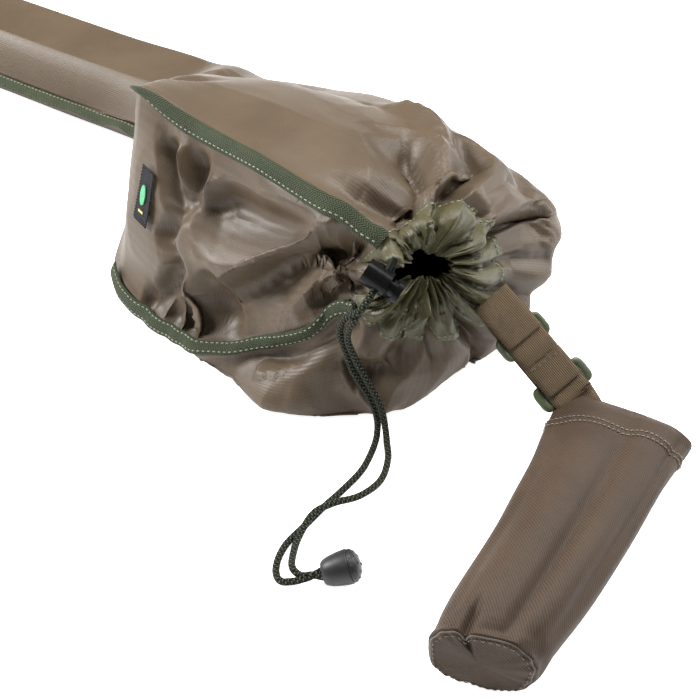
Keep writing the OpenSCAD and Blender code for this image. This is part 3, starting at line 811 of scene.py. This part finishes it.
def thread_jobs(rest, slack, free):
    """Every thread of the cloth, in sets that share no point, with its length and its ends' shares."""
    n, m = rest.shape[:2]
    jobs = []
    for down, across, pull, push in THREADS:
        step, count = (down, n - down) if down else (across, m)
        for k in (0, step):
            chosen = np.concatenate([np.arange(k + i, count, 2 * step) for i in range(step)])
            rows, cols = (chosen, np.arange(m)) if down else (np.arange(n), chosen)
            r0, c0 = rows[:, None], cols[None, :]
            r1, c1 = r0 + down, (c0 + across) % m
            length = np.linalg.norm(rest[r1, c1] - rest[r0, c0], axis=-1)
            if step == 1:
                length = length * slack[r0, c0]
            w0, w1 = free[r0, c0], free[r1, c1]
            total = np.maximum(w0 + w1, 1e-6)
            jobs.append((r0, c0, r1, c1, length, w0 / total, w1 / total, pull, push))
    return jobs


def relax(p, jobs, base, normal, low, high, free):
    """Lets the cloth settle: threads keep their length, folds spring open a little, and the
    stuffing and the seams hold it near the bag's surface."""
    held = free > 0
    for _ in range(CLOTH_TURNS):
        for r0, c0, r1, c1, length, w0, w1, pull, push in jobs:
            d = p[r1, c1] - p[r0, c0]
            run = np.linalg.norm(d, axis=-1)
            off = (run - length) / np.maximum(run, 1e-9)
            off = np.where(off > 0, off * pull, off * push)
            p[r0, c0] += (w0 * off)[..., None] * d
            p[r1, c1] -= (w1 * off)[..., None] * d
        away = ((p - base) * normal).sum(-1)
        p += ((np.clip(away, low, high) - away) * held)[..., None] * normal
        p += (base - p + away[..., None] * normal) * (0.02 * held)[..., None]
        lift_off_floor(p)
    return p


def settled_cloth(s_rows, v_cols):
    """The bag's cloth from the sleeve to the mouth, folded, gathered and settled."""
    s, v = np.meshgrid(s_rows, v_cols, indexing="ij")
    base = surface(s_rows, v_cols)
    normal = grid_normals(base)
    by_seam = np.minimum(v, ROUND - v)
    depth = fold_depth(base, v, 1 - 0.9 * hump(by_seam, 0.34) * smoothstep(6.6, 7.4, s))
    gather = smoothstep(10.6, 11.9, s)
    pleat = (2.2 * MM * gather - 1.2 * MM * smoothstep(12.2, 13, s)) * petal_wave(v)
    pleat *= 1 - 0.85 * hump(by_seam, 0.3)
    wander = 0.6 * MM * smooth_noise(s.shape, 12, 20, 3) * (1 - 0.6 * smoothstep(8, 9.5, s))
    wander *= smoothstep(2.8, 3.2, s) * (1 - 0.5 * smoothstep(11.5, 12.5, s))
    first = lift_off_floor(base + (pleat - depth + wander)[..., None] * normal)
    uneven = np.clip(smooth_noise(s.shape, 14, 14, 8), -0.7, 1.5)
    slack = 1.002 + 0.003 * uneven * (1 - 0.8 * smoothstep(8, 9, s))
    # The sleeve's end and the mouth are held, and the cloth at the two seams hardly moves
    free = np.ones(s.shape)
    free[:2] = free[-1:] = 0
    free[(np.minimum(by_seam, np.abs(v - LOWER_SEAM)) < 0.02) & (s > 5.3)] = 0.15
    low = -(depth.clip(0) * 1.15 + 0.003)
    high = (-depth).clip(0) * 1.3 + 0.0035 + 0.003 * gather
    return relax(first.copy(), thread_jobs(first, slack, free), base, normal, low, high, free)


def finer(grid):
    """The grid with twice as many rows and columns, on smooth curves through its points."""
    def spread(g):
        return catmull_rom(g, np.arange(2 * len(g) - 1) / 2)

    grid = spread(grid)
    wrapped = np.concatenate([grid[:, -2:], grid, grid[:, :3]], 1)
    return spread(wrapped.swapaxes(0, 1)).swapaxes(0, 1)[:, 4:-4]


def creased(bag):
    """Taut creases: thin ridges with smooth hollows between them, drawn out towards the mouth."""
    s, v = np.meshgrid(S_FINE, V_FINE, indexing="ij")
    drawn = smoothstep(7.6, 9.4, s)
    hollow = ((1 - drawn) * np.abs(smooth_noise(s.shape, 34, 40, 71))
              + drawn * np.abs(smooth_noise(s.shape, 24, 90, 72)))
    hollow += 0.45 * np.abs(smooth_noise(s.shape, 15, 24, 73))
    share = np.interp(v, (0, 0.3, 3, 3.3, 6.6, 7, 7.2, 8.7, 9),
                      (0.1, 0.4, 0.5, 0.6, 0.6, 0.2, 1, 1, 0.1))
    share *= smoothstep(4.5, 6.5, s) * (1 - smoothstep(9.6, 11.6, s))
    share *= np.where(v < FAR_FOLD, 0.35 + 0.65 * drawn, 1)
    way = outward(grid_normals(bag), bag)
    return lift_off_floor(bag - (CREASE_DEPTH * share * hollow)[..., None] * way)


s_rows, v_cols = cloth_grid()
cloth = settled_cloth(s_rows, v_cols)
bag = finer(cloth)
S_FINE = catmull_rom(s_rows, np.arange(bag.shape[0]) / 2)
V_FINE = np.interp(np.arange(bag.shape[1]) / 2, np.arange(len(v_cols) + 1), np.append(v_cols, ROUND))
bag = creased(bag)


def bag_at(s, v):
    """Points on the settled cloth at places in s and v."""
    s, v = np.broadcast_arrays(np.asarray(s, float), np.mod(np.asarray(v, float), ROUND))
    i = np.interp(s, S_FINE, np.arange(len(S_FINE)))
    j = np.interp(v, V_FINE, np.arange(len(V_FINE)))
    i0 = np.minimum(i.astype(int), len(S_FINE) - 2)
    j0 = np.minimum(j.astype(int), bag.shape[1] - 2)
    a, b = (i - i0)[..., None], (j - j0)[..., None]
    return ((bag[i0, j0] * (1 - b) + bag[i0, j0 + 1] * b) * (1 - a)
            + (bag[i0 + 1, j0] * (1 - b) + bag[i0 + 1, j0 + 1] * b) * a)


def bag_normal(s, v, reach):
    return unit(np.cross(bag_at(s + reach, v) - bag_at(s - reach, v),
                         bag_at(s, v + reach) - bag_at(s, v - reach)))


def sleeve_rows(columns):
    """The straight sleeve behind the pouch, soft and slightly rumpled."""
    s = np.concatenate([np.linspace(0, 2, 40)[:-1], np.linspace(2, CLOTH_START, 110)])
    rows = surface(s, columns)
    n = grid_normals(rows)
    ripple = 1.1 * MM * smooth_noise(rows.shape[:2], 20, 9, 21) * smoothstep(0.3, 1.2, s)[:, None]
    ripple *= (1 - smoothstep(CLOTH_START - 0.05, CLOTH_START, s))[:, None]
    return s[:-1], lift_off_floor(rows + ripple[..., None] * n)[:-1]


def panel_piece(name, v0, v1, s0, s1, node):
    """One cut of cloth between two seams, from s0 on the sleeve to s1 under the casing."""
    columns = np.flatnonzero((V_FINE >= v0 - 1e-6) & (V_FINE <= v1 + 1e-6))
    sleeve_s, sleeve = sleeve_rows(np.minimum(V_FINE, ROUND - 0.001))
    rows = np.concatenate([sleeve[sleeve_s > s0], bag[S_FINE <= s1]])[:, columns]
    uv = uv_grid(path_length(rows[:, len(columns) // 2]), path_length(rows[len(rows) // 2]))
    put(thicken(grid_piece(name, rows, uv, nylon, flip=True), CLOTH_T), "bag", node)


panel_piece("upper_cloth", UPPER_SEAM, FAR_FOLD, -1, 12.2, "upper_panel")
panel_piece("lower_cloth", FAR_FOLD, LOWER_SEAM, -1, 12.2, "lower_panel")
panel_piece("gusset_cloth", LOWER_SEAM, ROUND, 2, 12.4, "gusset")


# ---- Mouth casing --------------------------------------------------------------------
CASING_END, CASING_V = 13.0, (-0.72, 7.5)
CORD_COVER = 4.8 * MM


def smoothed(rows, k):
    rows = np.asarray(rows, float)
    pad = np.concatenate([np.repeat(rows[:1], k, 0), rows, np.repeat(rows[-1:], k, 0)])
    window = np.hanning(2 * k + 3)[1:-1]
    return np.stack([np.convolve(pad[:, c], window / window.sum(), "valid")
                     for c in range(rows.shape[1])], 1)


def casing_normals(s, v):
    """The CAD surface's normals at a grid of places in s and v, from every eighth column."""
    def at(a, b):
        return surface([a], [b])[0, 0]

    coarse, e = v[::8], 0.03
    n = np.empty(s.shape + (3,))
    for i, row in enumerate(s[:, ::8]):
        down = np.array([at(min(x + e, MOUTH), y) - at(x - e, y) for x, y in zip(row, coarse)])
        across = np.array([at(x, y + e) - at(x, y - e) for x, y in zip(row, coarse)])
        n[i] = unit(at_run(v, coarse, unit(np.cross(down, across))))
    return n


def casing_relief(t, v):
    """How far the casing stands out, in millimetres, at t from its hem to the hole and round v."""
    shape = (len(t), len(v))
    t = t[:, None]
    below = smoothstep(3.5, 4.5, v)[None, :]
    lift = 1.1 + 2.3 * np.sin(np.pi * np.clip(t * 1.05, 0, 0.93)) ** 0.8 + 0.35 * hump(t - 0.05, 0.03)
    # Each petal is as high as its own share of the gathered cloth, and its valleys wander
    drift = 0.16 * smooth_noise(shape, 60, 30, 33) * t
    share = np.interp(v, np.linspace(*CASING_V, 14),
                      np.random.default_rng(4).uniform(0.6, 1.5, 14))
    puff = (0.1 + 3.2 * smoothstep(0.15, 0.7, t) * (1 - 0.75 * t)) * petal_wave(v + drift) * share
    split = np.exp(-(np.abs(smooth_noise(shape, 48, 70, 35)) / 0.12) ** 1.2)
    puff -= 1.7 * split * smoothstep(0.2, 0.6, t) * (1 - smoothstep(0.7, 1, t))
    crease = 1.0 - 2.2 * np.abs(below * smooth_noise(shape, 13, 34, 31)
                                + (1 - below) * smooth_noise(shape, 34, 60, 37))
    crease *= 0.2 + (0.5 + 1.0 * below) * smoothstep(0.05, 0.6, t)
    small = 1 - 2 * np.abs(smooth_noise(shape, 6, 22, 32))
    crease += (0.1 + 0.6 * below) * small * smoothstep(0.15, 0.7, t)
    pucker = 0.5 * np.sin(v * 46 + 2.5 * np.sin(v * 5)) * hump(t - 0.72, 0.12)
    frill = 0.35 * np.sin(v * 61 + 3 * np.sin(v * 7)) * hump(t, 0.10)
    return lift + puff + crease + pucker + frill


def cord_cover(p, n):
    """How far the casing has to rise along n to lie over the drawcord's loop."""
    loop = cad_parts["drawcord_loop"].data.vertices
    tree = KDTree(len(loop))
    for k, place in enumerate(loop):
        tree.insert(place.co, k)
    tree.balance()
    off = np.array([[tree.find(q)[0] for q in row] for row in p]) - p
    height = (off * n).sum(-1)
    beside = np.linalg.norm(off - height[..., None] * n, axis=-1)
    cover = height + np.where(height > 0, CORD_COVER, CORD_COVER / 3)
    cover = np.clip(cover, 0, 2.5 * CORD_COVER) * np.exp(-(beside / 0.0045) ** 6)
    for _ in range(10):
        wide = cover.copy()
        wide[1:-1, 1:-1] = (cover[:-2, 1:-1] + cover[2:, 1:-1] + cover[1:-1, :-2]
                            + cover[1:-1, 2:]) / 4
        cover = np.maximum(cover, wide)
    return cover


def hair_mesh(name, hairs, material):
    """Loose thread ends, each from its points, its radii and the two directions across it."""
    points, faces = [], []
    for path, radii, x, y in hairs:
        first = len(points)
        for q, r in zip(path, radii):
            points += [q + r * (math.cos(a) * x + math.sin(a) * y) for a in (0, 2.094, 4.188)]
        faces += ring_faces(first, len(path), 3)
    return make_mesh(name, points, faces, material)


def make_frays(p, n):
    """Frayed ends of the casing at the gusset."""
    for end, j, inward in (("upper", 0, 6), ("lower", p.shape[1] - 1, -6)):
        threads = np.random.default_rng(40 + j)
        hairs = []
        for _ in range(46):
            i = threads.integers(1, 30)
            way = unit(unit(p[i, j] - p[i, j + inward]) + threads.normal(0, 0.5, 3) + 0.3 * n[i, j])
            bend = threads.normal(0, 0.4, 3)
            size = threads.uniform(1.2, 4.2) * MM
            places = np.arange(5) / 4
            hairs.append(([p[i, j] + size * (u * way + 0.5 * u * u * bend) for u in places],
                          0.11 * MM * (1 - 0.6 * places), n[i, j], unit(np.cross(n[i, j], way))))
        put(hair_mesh("fray_" + end, hairs, satin), "bag")


def make_casing():
    rows, cols = 56, 560
    t = np.linspace(0, 1, rows)
    v = np.linspace(*CASING_V, cols)
    # Each petal's outer edge is round, and its sides dive into the valleys
    edge = np.interp(v, (-0.72, 0, 0.8, 1.2, 2.4, 3.6, 5.2, 5.9, 6.6, 7.5),
                     (11.2, 11.2, 11.1, 11.2, 11.62, 11.6, 11.5, 11.75, 11.55, 11.2))
    scallop = (0.05 + 0.2 * smoothstep(4, 4.6, v)) * smoothstep(-0.3, 1, -petal_wave(v))
    edge = smoothed(edge[:, None], 25)[:, 0] + scallop
    s = edge[None, :] + (CASING_END - edge)[None, :] * t[:, None]
    n = casing_normals(s, v)
    p = bag_at(s, np.broadcast_to(v, s.shape)) + MM * casing_relief(t, v)[..., None] * n
    p += cord_cover(p, n)[..., None] * n
    # Petals reach unevenly into the hole, then the cloth turns down inside
    centre = surface([MOUTH], np.arange(0, 9, 0.5))[0].mean(0)
    reach = 1.4 + 3.4 * np.cos((v - 1.6) * 2 * np.pi / 4.5) + 1.2 * np.sin(v * 6.1)
    reach = np.maximum(reach, -0.3 + 0.5 * np.sin(v * 7)) * smoothstep(0.6, 1, t[:, None])
    p += MM * reach[..., None] * unit(centre - p)
    out = unit([0.5, -0.6, 0.6])
    inner = [p[-1] + pull * (centre - p[-1]) - drop * MM * out
             for drop, pull in ((1.2, 0.02), (3.2, 0.03), (7, 0.0), (13, -0.1))]
    p = np.concatenate([p, inner])
    uv = uv_grid(path_length(p[:, cols // 2]), path_length(p[10]))
    piece = thicken(grid_piece("casing_cloth", p, uv, satin, flip=True), CLOTH_T)
    put(piece, "bag", "mouth_casing")
    put(stitch_row("casing_stitches", p[4] + 0.2 * MM, n[4], light_thread, 0.0022, 0.0016, 0.0003),
        "bag")
    make_frays(p, n)


make_casing()


# ---- Binding tapes -------------------------------------------------------------------
TAPE_T, TAPE_CROWN = 1.6 * MM, 0.6 * MM


def seam_frame(v, inner, s):
    """The seam at v, the way onto the gusset and the way out of it."""
    edge = bag_at(s, v)
    way = unit(bag_at(s, inner) - edge)
    out = unit(np.cross(np.gradient(edge, axis=0), way))
    out *= np.sign((out * (bag_at(s, 8) - bag_at(s, 3.5))).sum(-1, keepdims=True))
    return smoothed(edge, 3), unit(smoothed(way, 9)), unit(smoothed(out, 9))


def tape_piece(name, path, side, up, width, thick, crown, node):
    put(ribbon_piece(name, path, side, up, width, thick, tape_cloth, crown), "bag", node)


def seam_stitches(name, row, up):
    put(stitch_row(name, row, up, light_thread), "bag")


def make_upper_tape():
    s = np.linspace(5.85, 11.5, 240)
    edge, way, out = seam_frame(UPPER_SEAM, 8.85, s)
    ridge = smoothstep(8.6, 9.4, s)[:, None]
    cad = surface(s, [8.85, 9.0])
    way = unit((1 - ridge) * way + ridge * unit(cad[:, 0] - cad[:, 1]))
    width = MM * (2 + 9 * smoothstep(5.75, 6.5, s) + 0.4 * np.sin(s * 3))
    # The tape lies on the highest cloth under its width
    under = [((bag_at(s, ROUND - k) - edge) * out).sum(-1) for k in (0.02, 0.08, 0.14, 0.2, 0.26)]
    over = np.clip(np.max(under, 0), 0, 0.006) * smoothstep(8.2, 9.2, s)
    lift = MM * (1.7 + 2.0 * hump(s - 5.85, 0.25) + 0.8 * smoothstep(9.5, 10.8, s)) + over
    path = edge + (0.42 * width[:, None] - 0.6 * MM) * way + smoothed(lift[:, None], 6) * out
    tape_piece("upper_tape", path, way, out, width, TAPE_T, TAPE_CROWN, "upper_binding")
    row = path + 0.30 * width[:, None] * way + 1.0 * MM * out
    seam_stitches("upper_tape_stitches", row[14:], out[14:])


def make_lower_tape():
    s = np.linspace(6.05, 11.3, 240)
    edge, way, out = seam_frame(LOWER_SEAM, 7.25, s)
    side = unit(way + (0.12 + 0.25 * smoothstep(8.5, 9.5, s))[:, None] * out)
    face = unit(np.cross(np.gradient(edge, axis=0), side))
    face *= np.sign((face * out).sum(-1, keepdims=True))
    width = MM * (10.2 + 0.5 * np.sin(s * 2.3)) * (1 - 0.25 * smoothstep(10.6, 11.3, s))
    path = lift_off_floor(edge + 0.40 * width[:, None] * side + 1.9 * MM * face, 4 * MM)
    tape_piece("lower_tape", path, side, face, width, TAPE_T, TAPE_CROWN, "lower_binding")
    for name, m in (("a", 0.33), ("b", -0.33)):
        seam_stitches("lower_tape_stitches_" + name,
                      path + m * width[:, None] * side + 0.9 * MM * face, face)


def make_sleeve_tape():
    s = np.linspace(0.1, 4.5, 300)
    sway = smooth_noise((len(s), 4), 1, 12, 5)[:, 0]
    side = unit(np.stack([0 * s, -1 + 0 * s, 0.10 * sway - 0.05], 1))
    path = surface(s, [8.0])[:, 0] + MM * np.stack([0 * s, -4.6 + 0 * s, 0.6 * sway], 1)
    up = np.tile((0, 0, 1.0), (len(s), 1))
    tape_piece("sleeve_tape", path, side, up, 10 * MM, 1.8 * MM, 0.5 * MM, "tube_binding")
    seam_stitches("sleeve_tape_stitches", (path + MM * (1.1 * up - 2.6 * side))[180:], up[180:])


def make_tip_tape():
    y = np.linspace(-36, 36, 30)
    path = MM * np.stack([-1252.4 + 0 * y, y, 12.5 + 0 * y], 1)
    tape_piece("tip_tape", path, np.tile((0, 0, 1.0), (30, 1)), np.tile((-1.0, 0, 0), (30, 1)),
               10.5 * MM, 4.2 * MM, 0.3 * MM, "tip_binding")


make_upper_tape()
make_lower_tape()
make_sleeve_tape()
make_tip_tape()


# ---- Side label ----------------------------------------------------------------------
def label_patch(name, s0, s1, v0, v1, out, material, shape=lambda x: 1.0):
    """A flat patch on the gusset, as wide at each place across as its shape says."""
    a = np.linspace(-1, 1, 13)
    b = np.linspace(-1, 1, 25)
    s = ((s0 + s1) / 2 + a * (s1 - s0) / 2)[:, None] + 0 * b
    v = (v0 + v1) / 2 + np.outer([shape(x) for x in a], b) * (v1 - v0) / 2
    flat = bag_at(s, v)
    n = unit(bag_normal(s, v, 0.1).mean((0, 1)))
    off = (flat - flat.mean((0, 1))) @ n
    rows = flat - 0.75 * off[..., None] * n + out * n
    uv = [[(0.02 * y, 0.006 * x) for y in b] for x in a]
    piece = thicken(grid_piece(name, rows, uv, material, flip=True), 0.6 * MM, 1)
    return put(piece, "bag"), rows, n


label, label_rows, label_n = label_patch("label", 6.36, 6.62, 7.86, 8.34, 2.2 * MM, label_black)
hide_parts("side_label")
border = np.concatenate([label_rows[0], label_rows[1:, -1], label_rows[-1, ::-1][1:],
                         label_rows[::-1, 0][1:]])
put(stitch_row("label_stitches", border + 0.4 * MM * label_n, np.tile(label_n, (len(border), 1)),
               label_black, 0.0016, 0.0005, 0.0004), "bag")
label_patch("label_mark", 6.43, 6.54, 8.03, 8.21, 3 * MM, label_green,
            lambda x: max(math.sqrt(max(1 - x * x, 0)), 0.05))
label_patch("label_bar", 6.44, 6.53, 7.955, 7.975, 3 * MM, label_gold)


# ---- Strap and sliders ---------------------------------------------------------------
STRAP = MM * np.array([136, -112, 63.0])
STRAP_X = unit([0.83, -0.11, -0.55])
STRAP_Z = np.array([0.43, -0.5, 0.75])
STRAP_Z = unit(STRAP_Z - STRAP_X * (STRAP_Z @ STRAP_X))
STRAP_Y = np.cross(STRAP_Z, STRAP_X)
WEB_W, WEB_T = 25 * MM, 1.45 * MM
BAR_A, BAR_A2, BAR_B, BAR_B2 = 20, 34.5, 56, 70.5
LOOP = 2.8
ACROSS, DOWN = unit([0.96, 0.28, 0.0]), unit([0.28, -0.96, 0.0])


def in_strap(x, z, y=0.0):
    return STRAP + MM * (x * STRAP_X + y * STRAP_Y + z * STRAP_Z)


def web_piece(name, route, body, *stands_for):
    """Webbing along a route of (x, z) places in the strap's own frame, in millimetres."""
    path = np.array([in_strap(x, z) for x, z in curve_through(route, 6)])
    side = np.tile(STRAP_Y, (len(path), 1))
    up = np.cross(np.gradient(path, axis=0), side)
    put(ribbon_piece(name, path, side, up, WEB_W, WEB_T, strap_cloth), body, *stands_for)


def round_bar(x, r, a0, a1, n=9):
    return [(x + r * math.sin(a), r * math.cos(a)) for a in np.linspace(a0, a1, n)]


def make_webbing():
    upper, link = "strap_upper_part", "strap_link_part"
    web_piece("web_upper", [(-3, 0.8), (0, 0.85), (4, 1.3), (9, 2.6), (14, 3.0), (20, 3.5),
                            (25, 3.75), (27.2, 3.7), (28.2, 3.45)], upper, "strap_upper")
    web_piece("web_upper_back", [(-2, -0.8), (4, -1.3), (9, -2.4), (14, -LOOP)]
              + round_bar(BAR_A, LOOP, math.pi, 0.25 * math.pi), upper)
    web_piece("web_link", [(26.4, 0.7), (29, 1.2), (34.5, 2.3), (40, 2.3), (46, 1.9), (53, 1.7)],
              link, "strap_link")
    web_piece("web_link_flap", [(44, 3.0), (46, 3.3), (50, 3.5), (56, 3.7), (61, 3.9), (63.0, 3.85),
                                (64.0, 3.5)], link)
    web_piece("web_link_back", round_bar(BAR_A2, LOOP, -0.25 * math.pi, -math.pi)
              + [(45, -LOOP)] + round_bar(BAR_B, LOOP, math.pi, 0.25 * math.pi), link)
    sewn = np.linspace(-0.44, 0.44, 20)
    row = [in_strap(46.2 + 1.6 * y, 4.15, y * WEB_W / MM) for y in sewn]
    put(stitch_row("web_link_stitches", row, np.tile(STRAP_Z, (20, 1)), dark_thread, 0.0026,
                   0.0012, 0.0004), link)
    threads = np.random.default_rng(5)
    hairs = []
    for _ in range(70):
        at = in_strap(44.1, 2.9, threads.uniform(-0.49, 0.49) * WEB_W / MM)
        way = unit(-STRAP_X + threads.normal(0, 0.35) * STRAP_Y + threads.uniform(0, 0.3) * STRAP_Z)
        size = threads.uniform(0.4, 1.5) * MM
        hairs.append(([at, at + size * way], [0.16 * MM] * 2, STRAP_Y, STRAP_Z))
    put(hair_mesh("web_link_fray", hairs, strap_cloth), link)


def make_pocket_webbing():
    """The last webbing, round the second slider's bar and into the pocket, where it twists."""
    bend, end = BAR_B2 + 2.6, BAR_B2 + 4.6
    top = [(62.4, 0.6), (65, 1.3), (68, 2.3), (BAR_B2, 2.8), (bend, 2.6), (end, 1.6)]
    low = round_bar(BAR_B2, LOOP, -0.2 * math.pi, -math.pi) + [(bend, -2.4), (end, -0.2)]
    sewn_in = ((209, -127, 16), (212, -137, 14), (213, -150, 13))
    sides = [STRAP_Y, unit([0.8, 0.55, 0.24]), unit([0.96, 0.28, 0.08]), ACROSS]
    for name, start, rise, stands_for in (("web_lower", top, 0.8, ["strap_lower"]),
                                          ("web_lower_back", low, -0.8, [])):
        points = curve_through([in_strap(*q) for q in start]
                               + [MM * np.array([x, y, z + rise]) for x, y, z in sewn_in], 6)
        run, n = path_length(points), len(start)
        side = at_run(run, [run[6 * (n - 1)], run[6 * n], run[6 * (n + 1)], run[-1]], sides)
        way = unit(np.gradient(points, axis=0))
        side = unit(side - way * (side * way).sum(-1, keepdims=True))
        put(ribbon_piece(name, points, side, np.cross(way, side), WEB_W, WEB_T, strap_cloth),
            "pocket_part", *stands_for)


make_webbing()
make_pocket_webbing()


def finish_cad(node, material, width):
    """A carried-over CAD node gets its material and softly rounded edges."""
    bevel = dress(node, material).modifiers.new("soft", "BEVEL")
    bevel.width, bevel.segments = width, 3
    bevel.limit_method = "ANGLE"
    bevel.angle_limit = math.radians(35)
    bevel.harden_normals = False


def make_slider(letter, bar, half, full):
    """A moulded ring with round corners, fuller at its two rails, and a flat bar across its middle."""
    body, reach, sides = "slider_%s_part" % letter, 7.25, 14
    centre = bar + reach
    turn = np.linspace(0, 2 * np.pi, 97)[:-1]
    px, py = reach * squarer(np.cos(turn), 0.42), half * squarer(np.sin(turn), 0.42)
    tangent = unit(np.stack([np.gradient(px), np.gradient(py)], 1))
    rows = []
    for a, b, (tx, ty) in zip(px, py, tangent):
        rail = smoothstep(12.5, 15, abs(b))
        ring = []
        for q in np.arange(sides) * 2 * np.pi / sides:
            u = squarer(np.cos(q), 0.8) * (1.6 + full * rail)
            w = squarer(np.sin(q), 0.8) * (1.65 + 0.25 * rail)
            ring.append(in_strap(centre + a + u * ty, w, b - u * tx))
        rows.append(ring)
    uv = uv_grid(0.001 * np.arange(len(rows) + 1), np.arange(sides + 1) / sides)
    put(grid_piece("glide_" + letter, rows + rows[:1], uv, acetal, around=True), body,
        "slider_" + letter)

    def flat_bar(name, path, side, width, thick):
        n = len(path)
        put(ribbon_piece(name, path, np.tile(side, (n, 1)), np.tile(STRAP_Z, (n, 1)), width, thick,
                         acetal), body)

    flat_bar("glide_bar_" + letter, [in_strap(centre, 0, y) for y in np.linspace(-16, 16, 12)],
             STRAP_X, 2.2 * MM, 3.0 * MM)
    for k, y in enumerate((2.9 - half, half - 2.9)):
        flat_bar("glide_rail_%s_%d" % (letter, k),
                 [in_strap(centre + x, 0, y) for x in np.linspace(-7, 7, 8)],
                 STRAP_Y, 4.8 * MM, 2.6 * MM)


make_slider("a", BAR_A, 14.9, 0.3)
make_slider("b", BAR_B, 15.9, 1.0)
finish_cad("cord_lock_body", black, 0.9 * MM)
finish_cad("cord_lock_button", black, 0.7 * MM)
dress("cord_lock_spring", spring)
dress("drawcord_loop", cord_braid)


# ---- Butt pocket ---------------------------------------------------------------------
POCKET = np.array([(227.5, -114, 78, 26), (228, -124, 78, 28), (232, -160, 72, 34),
                   (236, -215, 67, 42), (240, -275, 61, 46), (242, -306, 54, 44)], float)


# Long soft folds down the pocket: its line's angle at both ends, where it runs, depth, half width
POCKET_FOLDS = [(1.50, 1.30, 0.9, 4.95, 4.2, 0.13), (1.95, 1.75, 0.2, 4.6, -2.2, 0.30),
                (1.0, 0.85, 0.6, 4.8, -2.4, 0.26), (0.55, 0.45, 0.3, 4.4, 1.8, 0.16),
                (2.45, 2.3, 1.2, 4.9, 1.2, 0.2), (1.9, 1.85, 4.2, 5.4, 4.0, 0.08),
                (2.0, 1.7, 3.9, 5.2, 1.6, 0.2)]
POCKET_END, HEM = 5, 1.42
PINCH_AT = 1.87
POCKET_FLOOR = 0.4 * MM


def pocket_points(t, a):
    """The plain pocket at places t down it and angles a round it, with its mouth cut at a slant."""
    x, z = squarer(np.cos(a), 0.8), squarer(np.sin(a), 0.8)
    t = t[:, None]
    middle_x, middle_y, width, height = along(POCKET, t[:, 0]).T[..., None]
    slant = 8 * np.clip(1 - t / 2, 0, 1) * x
    beside = width / 2 * x - 4 * smoothstep(3, POCKET_END, t)
    p = beside[..., None] * ACROSS + slant[..., None] * DOWN
    p += np.concatenate([middle_x, middle_y, 0 * middle_x], 1)[:, None]
    p[..., 2] = np.maximum(height / 2 * (1 + z), 0.3)
    return MM * p


def pocket_relief(t, a):
    """The folds, the turned hem and the gathers at the end seam, in millimetres."""
    t_grid, a_grid = np.meshgrid(t, a, indexing="ij")
    d = 0.55 * smooth_noise(t_grid.shape, 14, 20, 61)
    for a0, a1, t0, t1, depth, wide in POCKET_FOLDS:
        u = np.clip((t_grid - t0) / (t1 - t0), 0, 1)
        d -= depth * np.sin(np.pi * u) ** 0.6 * hump(a_grid - a0 - (a1 - a0) * u, wide)
    gathers = np.sin(13 * a_grid + 2 * np.sin(3 * a_grid)) + np.sin(5 * a_grid + 1)
    d += 0.35 * hump(POCKET_END - t_grid, 0.12) * gathers
    d -= 1.3 * hump(POCKET_END - t_grid, 0.03)
    d += 0.45 * hump(t_grid - HEM, 0.07) - 0.5 * hump(t_grid - HEM - 0.09, 0.03)
    return d - 0.35 * smoothstep(HEM, HEM + 0.1, t_grid)


def closed(ring):
    return np.concatenate([ring, ring[:1]])


def make_end_disc(rim, a):
    """The end disc, sewn in, domed a little and puckered along its seam."""
    middle = rim.mean(0)

    def inside(share, push):
        return middle + share * (rim - middle) + MM * np.multiply.outer(push, DOWN)

    rings = []
    for r, push in ((1.0, -0.3), (0.985, 0.8), (0.95, 1.5), (0.88, 1.5), (0.76, 1.7), (0.6, 2.0),
                    (0.42, 2.2), (0.24, 2.3), (0.1, 2.3), (0.01, 2.3)):
        wrinkle = 0.3 * np.sin(13 * a + 2 * np.sin(3 * a)) * hump(1 - r, 0.15)
        wrinkle += 0.6 * np.sin(3 * a + 1) * hump(r - 0.6, 0.3)
        wrinkle -= 2.2 * hump(a - PINCH_AT, 0.09) * smoothstep(0.35, 0.95, r)
        rings.append(inside(r, push + wrinkle))
    rings = lift_off_floor(np.array(rings), POCKET_FLOOR)
    uv = [[((x - middle) @ ACROSS, (x - middle)[2]) for x in closed(q)] for q in rings]
    put(grid_piece("pocket_disc", rings, uv, pocket_cloth, around=True), "pocket_part", "pocket_end")
    put(tube_piece("disc_seam", closed(inside(0.985, 0.4)), 0.5 * MM, dark_thread, 8), "pocket_part")
    edge = closed(inside(0.93, 1.9))
    put(stitch_row("disc_stitches", edge, np.tile(DOWN, (len(edge), 1)), dark_thread, 0.0022, 0.0014,
                   0.00022), "pocket_part")


def make_pocket():
    t = np.concatenate([np.linspace(0, 4.4, 90), np.linspace(4.4, POCKET_END, 41)[1:]])
    a = np.linspace(0, 2 * np.pi, 180, endpoint=False)
    p = pocket_points(t, a)
    n = outward(grid_normals(p), p)
    p = lift_off_floor(p + MM * pocket_relief(t, a)[..., None] * n, POCKET_FLOOR)
    uv = uv_grid(path_length(p[:, len(a) // 4]), path_length(closed(p[40])))
    cloth = grid_piece("pocket_cloth", p, uv, pocket_cloth, around=True)
    put(thicken(cloth, 1.2 * MM), "pocket_part", "butt_pocket", "pocket_hem")
    for k, place in enumerate((HEM - 0.045, HEM + 0.045)):
        i = int(np.argmin(np.abs(t - place)))
        row, up = closed(p[i]), closed(n[i])
        put(stitch_row("hem_stitches_%d" % k, row + 0.3 * MM * up, up, hem_thread, 0.0020, 0.0008,
                       0.0003), "pocket_part")
    make_end_disc(p[-1], a)


make_pocket()
